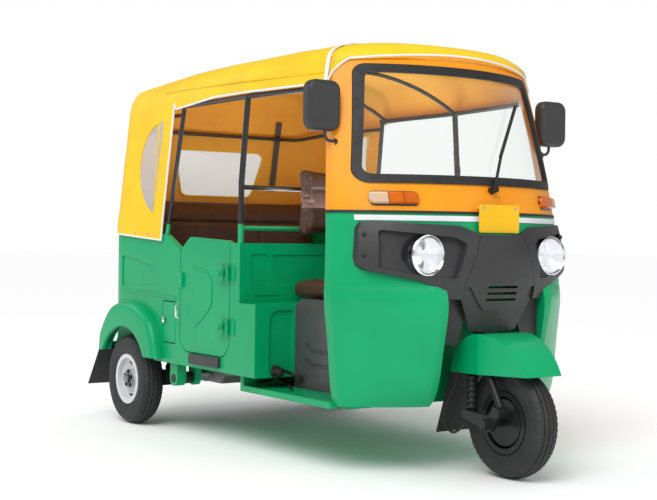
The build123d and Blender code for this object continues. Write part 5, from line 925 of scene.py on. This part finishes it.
# The visor's inner side takes the orange painted light of daylight through the canvas
visor_holder = thick_sheet(visor_mesh, SHEET_THICK, INWARDS, yellow_vinyl, painted_through_light)
visor_sheet = add_piece("visor_sheet", applied(visor_holder, "visor_sheet"), sharp=50.0)
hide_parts("canopy_visor")
lip_holder = thick_sheet(grid_mesh("header_lip", lip_grid), SHEET_THICK, INWARDS, orange, orange)
add_piece("header_lip", applied(lip_holder, "header_lip"), sharp=50.0)

# Piping, front band and window bindings sewn to the canopy
PIPING_RADIUS = 0.0045
BAND_HALF = 0.012
BAND_RISE = 0.0035
BAND_THICK = 0.002
BINDING_RADIUS = 0.005
REAR_CENTRE_X = -0.6


def first_row(column):
    """Row of a column's lowest point."""
    return next(row for row, point in enumerate(grid[column]) if point is not None)


edge_line = []
for column in range(len(grid)):
    low_row = first_row(column)
    before = first_row(column - 1) if column else low_row
    after = first_row(column + 1) if column + 1 < len(grid) else low_row
    edge_line.extend(grid[column][row] for row in range(before, low_row, -1))
    edge_line.append(grid[column][low_row])
    edge_line.extend(grid[column][row] for row in range(low_row + 1, after + 1))
add_piece("canopy_piping", tube_mesh(edge_line, PIPING_RADIUS), piping)
visor_edge = [column[0] for column in visor_grid]
add_piece("visor_piping", tube_mesh(visor_edge, PIPING_RADIUS), piping)


def strip_mesh(name, line, step, rise, thick):
    """A thin strip that runs along a line, as wide as twice its step, lifted off what it lies on."""
    rows = []
    for point in line:
        lifted = Vector((0, point.y, point.z - FAN_Z)).normalized() * rise
        rows.append((point - step + lifted, point + step + lifted))
    return applied(thick_sheet(grid_mesh(name, rows), thick, CENTRED), name)


right_edge = grid[0][WALL_ROWS:]
left_edge = grid[-1][WALL_ROWS:]
band_line = right_edge + list(reversed(left_edge[:-1]))
band = strip_mesh("front_band", band_line, Vector((BAND_HALF, 0, 0)), BAND_RISE, BAND_THICK)
add_piece("front_band", band, piping)


def turn_of(first, second, third):
    """Positive where three flat points turn left."""
    ahead = (second[0] - first[0]) * (third[1] - first[1])
    return ahead - (second[1] - first[1]) * (third[0] - first[0])


def outline_of(corners, across):
    """Convex outline of points, in order, over one level axis and height."""
    flat = sorted({(round(corner[across], 4), round(corner.z, 4)) for corner in corners})
    halves = []
    for run in (flat, list(reversed(flat))):
        half = []
        for point in run:
            while len(half) > 1 and turn_of(half[-2], half[-1], point) <= 0:
                half.pop()
            half.append(point)
        halves.extend(half[:-1])
    return halves


for key, corners in pane_groups.items():
    rear = key == "rear"
    line = []
    for level, height in outline_of(corners, 1 if rear else 0):
        centre = Vector((REAR_CENTRE_X, level, height)) if rear else Vector((level, 0, height))
        line.append(outer_hit(shell, centre, WINDOW_AIM[key]))
    line = [point for point in line if point is not None]
    binding = tube_mesh(line, BINDING_RADIUS, closed=True)
    add_piece("window_binding_" + key, binding, yellow_vinyl)

# Seam along the side, and studs along the hem
SEAM_Z = 1.532
SEAM_END = 0.02
SEAM_STEPS = 59
SEAM_RADIUS = 0.003
STUD_RADIUS = 0.005
STUD_PIXELS = [(136, 233), (148, 234)]
stud_places = both_sides([at_pixel(shell, across, down) for across, down in STUD_PIXELS])
add_piece("hem_studs", bolts("studs", stud_places, STUD_RADIUS, 16), steel)
for side, side_name in SIDES:
    seam_line = []
    for step in range(SEAM_STEPS + 1):
        x = SPLIT_X - SEAM_END + (FAN_X + SEAM_END - SPLIT_X) * step / SEAM_STEPS
        seam_point = outer_hit(shell, Vector((x, 0, SEAM_Z)), Vector((0, side, 0)))
        seam_line.append(settled(seam_point, GUTTER_Z))
    add_piece("canopy_seam_" + side_name, tube_mesh(seam_line, SEAM_RADIUS), yellow_vinyl)

# Bright strip under the belt
STRIP_LOW = 0.962
STRIP_HIGH = 0.982
STRIP_HALF = 0.515
STRIP_STEPS = 48
STRIP_RISE = 0.0015
STRIP_THICK = 0.003
cowl = surface_of("front_cowl")
strip_grid = []
for step in range(STRIP_STEPS + 1):
    y = STRIP_HALF * (2 * step / STRIP_STEPS - 1)
    pair = []
    for height in (STRIP_LOW, STRIP_HIGH):
        point, normal, _, _ = cowl.ray_cast(Vector((FAR, y, height)), BACKWARDS)
        pair.append(point + normal * STRIP_RISE)
    strip_grid.append(pair)
strip_holder = thick_sheet(grid_mesh("belt_strip", strip_grid), STRIP_THICK, CENTRED)
add_piece("belt_strip", applied(strip_holder, "belt_strip"), white_enamel)

# Indicators: amber lens with a clear end on a dark foot
INDICATOR_SIDE = 0.388
INDICATOR_Z = 1.045
INDICATOR_WIDE = 0.162
INDICATOR_TALL = 0.056
INDICATOR_CORNER = 0.018
INDICATOR_DEEP = 0.022
FOOT_DEEP = 0.008
LENS_INSET = 0.004
LENS_ROUND = 0.006
LENS_COLUMNS = 18
LENS_ROWS = 10
LENS_BLOCKS = ((0.0, 0.32, amber), (0.33, 0.62, amber), (0.63, 1.0, clear_lens))
screen = surface_of("upper_cowl")


def lens_mesh(name, side, start, end, inset, deep):
    """A domed block on the cowl between two shares of the indicator's width."""
    columns = []
    for i in range(LENS_COLUMNS + 1):
        share = start + (end - start) * i / LENS_COLUMNS
        from_end = min(share, 1 - share) * INDICATOR_WIDE
        half_tall = INDICATOR_TALL / 2 - inset
        if from_end < INDICATOR_CORNER:
            reach = INDICATOR_CORNER - from_end
            half_tall -= INDICATOR_CORNER - math.sqrt(INDICATOR_CORNER**2 - reach**2)
        y = side * (INDICATOR_SIDE + INDICATOR_WIDE * (share - 0.5))
        column = []
        for j in range(LENS_ROWS + 1):
            part = j / LENS_ROWS
            z = INDICATOR_Z + half_tall * (2 * part - 1)
            point, normal, _, _ = screen.ray_cast(Vector((FAR, y, z)), BACKWARDS)
            edge = min(part, 1 - part) * INDICATOR_TALL
            round_off = min(1.0, edge / LENS_ROUND, (from_end + 0.001) / LENS_ROUND)
            column.append(point + normal * deep * math.sqrt(round_off))
        columns.append(column)
    return grid_mesh(name, columns)


for side, side_name in SIDES:
    foot = lens_mesh("indicator_foot", side, 0.0, 1.0, 0.0, FOOT_DEEP)
    add_piece("indicator_foot_" + side_name, foot, black_plastic)
    for index, (start, end, material) in enumerate(LENS_BLOCKS):
        block = lens_mesh("indicator_lens", side, start, end, LENS_INSET, INDICATOR_DEEP)
        block_name = f"indicator_lens_{side_name}_{index}"
        add_piece(block_name, block, material)
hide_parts("indicator_lamps")

# Screws of the plate and bolts of the lamp surrounds
PLATE_SCREW_SIDE = 0.08
PLATE_SCREW_DROP = 0.014
PLATE_SCREW_RADIUS = 0.004
FASCIA_BOLT_RADIUS = 0.007
FASCIA_BOLT_PIXELS = [(364, 234), (364, 255)]
plate_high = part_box("number_plate")[1]
plate_screws = []
for side in (-1, 1):
    screw = Vector((plate_high.x, side * PLATE_SCREW_SIDE, plate_high.z - PLATE_SCREW_DROP))
    plate_screws.append((screw, -BACKWARDS))
add_piece("plate_screws", bolts("screws", plate_screws, PLATE_SCREW_RADIUS, 16), steel)
fascia = surface_of("lamp_surrounds")
fascia_places = both_sides([at_pixel(fascia, across, down) for across, down in FASCIA_BOLT_PIXELS])
add_piece("fascia_bolts", bolts("bolts", fascia_places, FASCIA_BOLT_RADIUS, 18), rubber)

# Headlamps: a bezel round each, and a dark seat behind it inside the surround
lens_low, lens_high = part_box("headlamp_lenses")
LAMP_SIDE = 0.313
LAMP_Z = (lens_low.z + lens_high.z) / 2
LAMP_STEPS = 64
lamp_radius = (lens_high.z - lens_low.z) / 2
BEZEL_OUT = 0.004
BEZEL = [
    # along, beyond the lamp's radius
    (-0.012, 0.001), (-0.002, 0.003), (0.001, 0.001), (0.0015, -0.003),
    (-0.003, -0.006), (-0.012, -0.004),
]
SEAT_OUT = 0.006
SEAT_BACK = 0.060
SEAT_RISE = 0.0015
SEAT_RADII = (0.3 * lamp_radius, 0.7 * lamp_radius, lamp_radius, lamp_radius + SEAT_OUT)
ring = [(along, lamp_radius + grow) for along, grow in BEZEL]
seats = []
for side, side_name in SIDES:
    centre = Vector((lens_low.x + BEZEL_OUT, side * LAMP_SIDE, LAMP_Z))
    bezel = lathe_mesh(ring, centre, (1, 0, 0), LAMP_STEPS)
    add_piece("lamp_bezel_" + side_name, bezel, chrome)
    seat_columns = []
    for step in range(LAMP_STEPS + 1):
        angle = 2 * math.pi * step / LAMP_STEPS
        column = []
        for radius in SEAT_RADII:
            y = side * LAMP_SIDE + radius * math.cos(angle)
            origin = Vector((FAR, y, LAMP_Z + radius * math.sin(angle)))
            point, _, _, _ = cowl.ray_cast(origin, BACKWARDS)
            deepest = lens_low.x - SEAT_BACK
            depth = deepest if point is None else max(point.x, deepest)
            column.append(Vector((depth + SEAT_RISE, origin.y, origin.z)))
        seat_columns.append(column)
    seats.append(grid_mesh("lamp_seat", seat_columns))
add_piece("lamp_seats", joined("lamp_seats", seats), black_plastic)

# Wiper blade along the upper arm
WIPER_MIDDLE = Vector((0.916, 0.090, 1.230))
WIPER_TOP = Vector((0.811, 0.258, 1.436))
BLADE_SHARES = (-0.06, 0.5, 1.0)
BLADE_RADIUS = 0.0075
blade_line = [WIPER_MIDDLE + (WIPER_TOP - WIPER_MIDDLE) * share for share in BLADE_SHARES]
add_piece("wiper_blade", tube_mesh(blade_line, BLADE_RADIUS), rubber)

# Mirror glass on the faces that look back
MIRROR_FACING = -0.9
MIRROR_AREA = 0.0005
nodes["mirrors"].data.materials.append(chrome)
for face in nodes["mirrors"].data.polygons:
    if face.normal.x < MIRROR_FACING and face.area > MIRROR_AREA:
        face.material_index = 1

# Door hinge plates with their knobs, latches, and the hatch's lock
KNOB = [(0.0, 0.011), (0.005, 0.0105), (0.009, 0.008), (0.011, 0.0)]
PLATE_NEAR = 0.020
PLATE_MIDDLE = 0.042
PLATE_FAR = 0.082
PLATE_HALF = 0.040
PLATE_TIP = 0.008
PLATE_SUNK = -0.001
PLATE_THICK = 0.004
PLATE_OUTLINE = [
    # behind the hinge, above the plate's middle
    (PLATE_NEAR, -PLATE_HALF), (PLATE_NEAR, PLATE_HALF),
    (PLATE_FAR, PLATE_TIP), (PLATE_FAR, -PLATE_TIP),
]
HINGE_HEIGHTS = (0.515, 0.740)
LATCH_X = -0.396
LATCH_RADIUS = 0.005
# Distance out of the door's skin, height
LATCH_LINE = [(-0.004, 0.530), (0.012, 0.538), (0.012, 0.584), (-0.004, 0.592)]
LOCK = [(0.0, 0.014), (0.003, 0.014), (0.005, 0.011), (0.005, 0.0)]
LOCK_IN = 0.016
LOCK_SUNK = 0.002
LOCK_Z = 0.512
for side, side_name in SIDES:
    body = side_name + "_door"
    door_low, door_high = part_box("door_" + side_name)
    skin = door_low.y if side < 0 else door_high.y
    hinge = joint_place[body]
    plates = []
    knobs = []
    for height in HINGE_HEIGHTS:
        corners = [
            Vector((hinge.x - behind, skin + side * out, height + above))
            for out in (PLATE_SUNK, PLATE_THICK)
            for behind, above in PLATE_OUTLINE
        ]
        sides = [(i, (i + 1) % 4, (i + 1) % 4 + 4, i + 4) for i in range(4)]
        plates.append(mesh_from("plate", corners, [(0, 1, 2, 3), (4, 5, 6, 7)] + sides))
        knob_place = Vector((hinge.x - PLATE_MIDDLE, skin + side * PLATE_THICK, height))
        knobs.append(lathe_mesh(KNOB, knob_place, (0, side, 0), 20))
    add_piece(body + "_hinge_plates", joined("plates", plates), green, body=body)
    add_piece(body + "_hinge_bolts", joined("knobs", knobs), green, body=body)
    latch = [Vector((LATCH_X, skin + side * out, height)) for out, height in LATCH_LINE]
    add_piece(body + "_latch", tube_mesh(latch, LATCH_RADIUS), chrome, body=body)
hatch_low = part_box("side_hatch")[0]
lock_place = Vector((hatch_low.x + LOCK_IN, hatch_low.y + LOCK_SUNK, LOCK_Z))
add_piece("hatch_lock", lathe_mesh(LOCK, lock_place, (0, -1, 0), 24), chrome, body="hatch")

# Brake linkage and cables on the driver's floor
cabin_floor = surface_of("driver_floor", "seat_box", "partition")
CABLE_PIXELS = [
    # radius in metres, pixels along the run
    (0.007, [(272, 366), (284, 371), (294, 375), (304, 378)]),
    (0.005, [(256, 382), (264, 381), (272, 380), (278, 376)]),
    (0.005, [(280, 379), (286, 384), (290, 388), (292, 391)]),
    (0.006, [(270, 374), (279, 375), (288, 377), (300, 381)]),
]
CABLE_STAND = 0.022
CABLE_GAP = 0.001
BOOT_PIXEL = (276, 372)
BOOT = [
    # along, radius
    (0.0, 0.026), (0.008, 0.026), (0.012, 0.021), (0.020, 0.022),
    (0.026, 0.017), (0.034, 0.018), (0.044, 0.0),
]
for index, (radius, run) in enumerate(CABLE_PIXELS):
    line = []
    for across, down in run:
        point, normal = at_pixel(cabin_floor, across, down)
        line.append(point + normal * (radius + CABLE_GAP) - pixel_ray(across, down) * CABLE_STAND)
    add_piece(f"floor_cable_{index}", tube_mesh(line, radius, order=3), rubber)
boot_place, boot_normal = at_pixel(cabin_floor, *BOOT_PIXEL)
add_piece("brake_boot", lathe_mesh(BOOT, boot_place, boot_normal, 28), rubber)

# Straps inside the canopy's rear wall
STRAP_SIDE = 0.33
STRAP_HALF = 0.016
STRAP_LOW = 1.14
STRAP_TALL = 0.36
STRAP_STEPS = 12
STRAP_GAP = 0.006
STRAP_THICK = 0.002
straps = []
for side in (-1, 1):
    line = []
    for step in range(STRAP_STEPS + 1):
        height = STRAP_LOW + STRAP_TALL * step / STRAP_STEPS
        origin = Vector((REAR_CENTRE_X, side * STRAP_SIDE, height))
        point, _, _, _ = shell.ray_cast(origin, BACKWARDS)
        line.append(point + Vector((STRAP_GAP, 0, 0)))
    straps.append(strip_mesh("strap", line, Vector((0, STRAP_HALF, 0)), 0.0, STRAP_THICK))
add_piece("wall_straps", joined("straps", straps), grey_plastic)

# Brake hose: a free cord from the fork to the wheel's brake
HOSE_ROUTE = [
    (0.901, -0.108, 0.3855), (0.899, -0.110, 0.350),
    (0.878, -0.115, 0.306), (0.851, -0.121, 0.258),
    (0.844, -0.127, 0.206), (0.872, -0.130, 0.166),
    (0.922, -0.126, 0.150), (0.968, -0.117, 0.204),
]
HOSE_WIDE = 0.010
hose = round_curve("brake_hose_line", HOSE_ROUTE, HOSE_WIDE / 2, order=3, fineness=3)
hose.data.materials.append(rubber)
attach(hose, "steering")
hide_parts("brake_hose")

# Floor, world and studio light
FLOOR_HALF = 60.0
floor_material, floor_tree, floor_shader, floor_place = new_material("pale_floor")
wear(floor_tree, floor_shader, noise(floor_tree, floor_place, 1.5), 0.4, 0.5, 0.3, 0.7)
set_inputs(floor_shader, {"Base Color": (0.95, 0.95, 0.95, 1.0), "Specular IOR Level": 0.0})
floor_corners = [(x * FLOOR_HALF, y * FLOOR_HALF, 0) for x, y in ((-1, -1), (1, -1), (1, 1), (-1, 1))]
floor_mesh = bpy.data.meshes.new("floor")
floor_mesh.from_pydata(floor_corners, [], [(0, 1, 2, 3)])
floor_mesh.materials.append(floor_material)
scene_object("floor", floor_mesh)

# White surroundings, dimmer as a light and in reflections, as flags round a studio set make them
WORLD_SEEN = 1.0
WORLD_LIGHT = 0.66
WORLD_GLOSS = 0.34
world = bpy.data.worlds.new("studio")
world.use_nodes = True
world_tree = world.node_tree
rays = world_tree.nodes.new("ShaderNodeLightPath")
glossy = rays.outputs["Is Glossy Ray"]
through = rays.outputs["Is Transmission Ray"]
reflected = add_node(world_tree, "ShaderNodeMath", {}, {0: glossy, 1: through})
reflected.operation = "SUBTRACT"
reflected.use_clamp = True


def backdrop(strength):
    """A plain white background of a given strength."""
    values = {"Color": (1.0, 1.0, 1.0, 1.0), "Strength": strength}
    return add_node(world_tree, "ShaderNodeBackground", values, {}).outputs["Background"]


def chosen(factor, first, second):
    """The second of two backgrounds where a factor is one."""
    links = {"Fac": factor, 1: first, 2: second}
    return add_node(world_tree, "ShaderNodeMixShader", {}, links).outputs["Shader"]


diffuse = chosen(rays.outputs["Is Diffuse Ray"], backdrop(WORLD_SEEN), backdrop(WORLD_LIGHT))
whole = chosen(reflected.outputs["Value"], diffuse, backdrop(WORLD_GLOSS))
world_tree.links.new(whole, world_tree.nodes["World Output"].inputs["Surface"])
bpy.context.scene.world = world
bpy.context.scene.view_settings.view_transform = "Standard"

SUN_PLACE = (3.0, -4.0, 6.0)
SUN_STRENGTH = 1.5
SUN_SOFT = 0.7
LIGHTS = [
    # name, place, aim, size, power
    ("key", (3.2, -4.2, 4.6), (0.0, 0.0, 0.8), 3.0, 60.0),
    ("fill", (5.5, 1.8, 2.6), (0.6, 0.0, 0.8), 3.0, 30.0),
    ("rear", (-4.5, -3.0, 3.2), (-0.6, 0.0, 0.9), 2.5, 30.0),
    ("cabin", (-0.1, 0.0, 1.02), (-0.1, 0.0, 1.7), 0.8, 9.0),
]


def add_light(name, kind, place, aim, power):
    """A light at a place that looks at another; returns its data."""
    data = bpy.data.lights.new(name, kind)
    data.energy = power
    light = scene_object(name, data)
    light.location = place
    light.rotation_mode = "QUATERNION"
    light.rotation_quaternion = (Vector(aim) - Vector(place)).to_track_quat("-Z", "Y")
    return data


add_light("overhead", "SUN", SUN_PLACE, (0.0, 0.0, 0.0), SUN_STRENGTH).angle = SUN_SOFT
for light_name, place, aim, size, power in LIGHTS:
    add_light(light_name, "AREA", place, aim, power).size = size
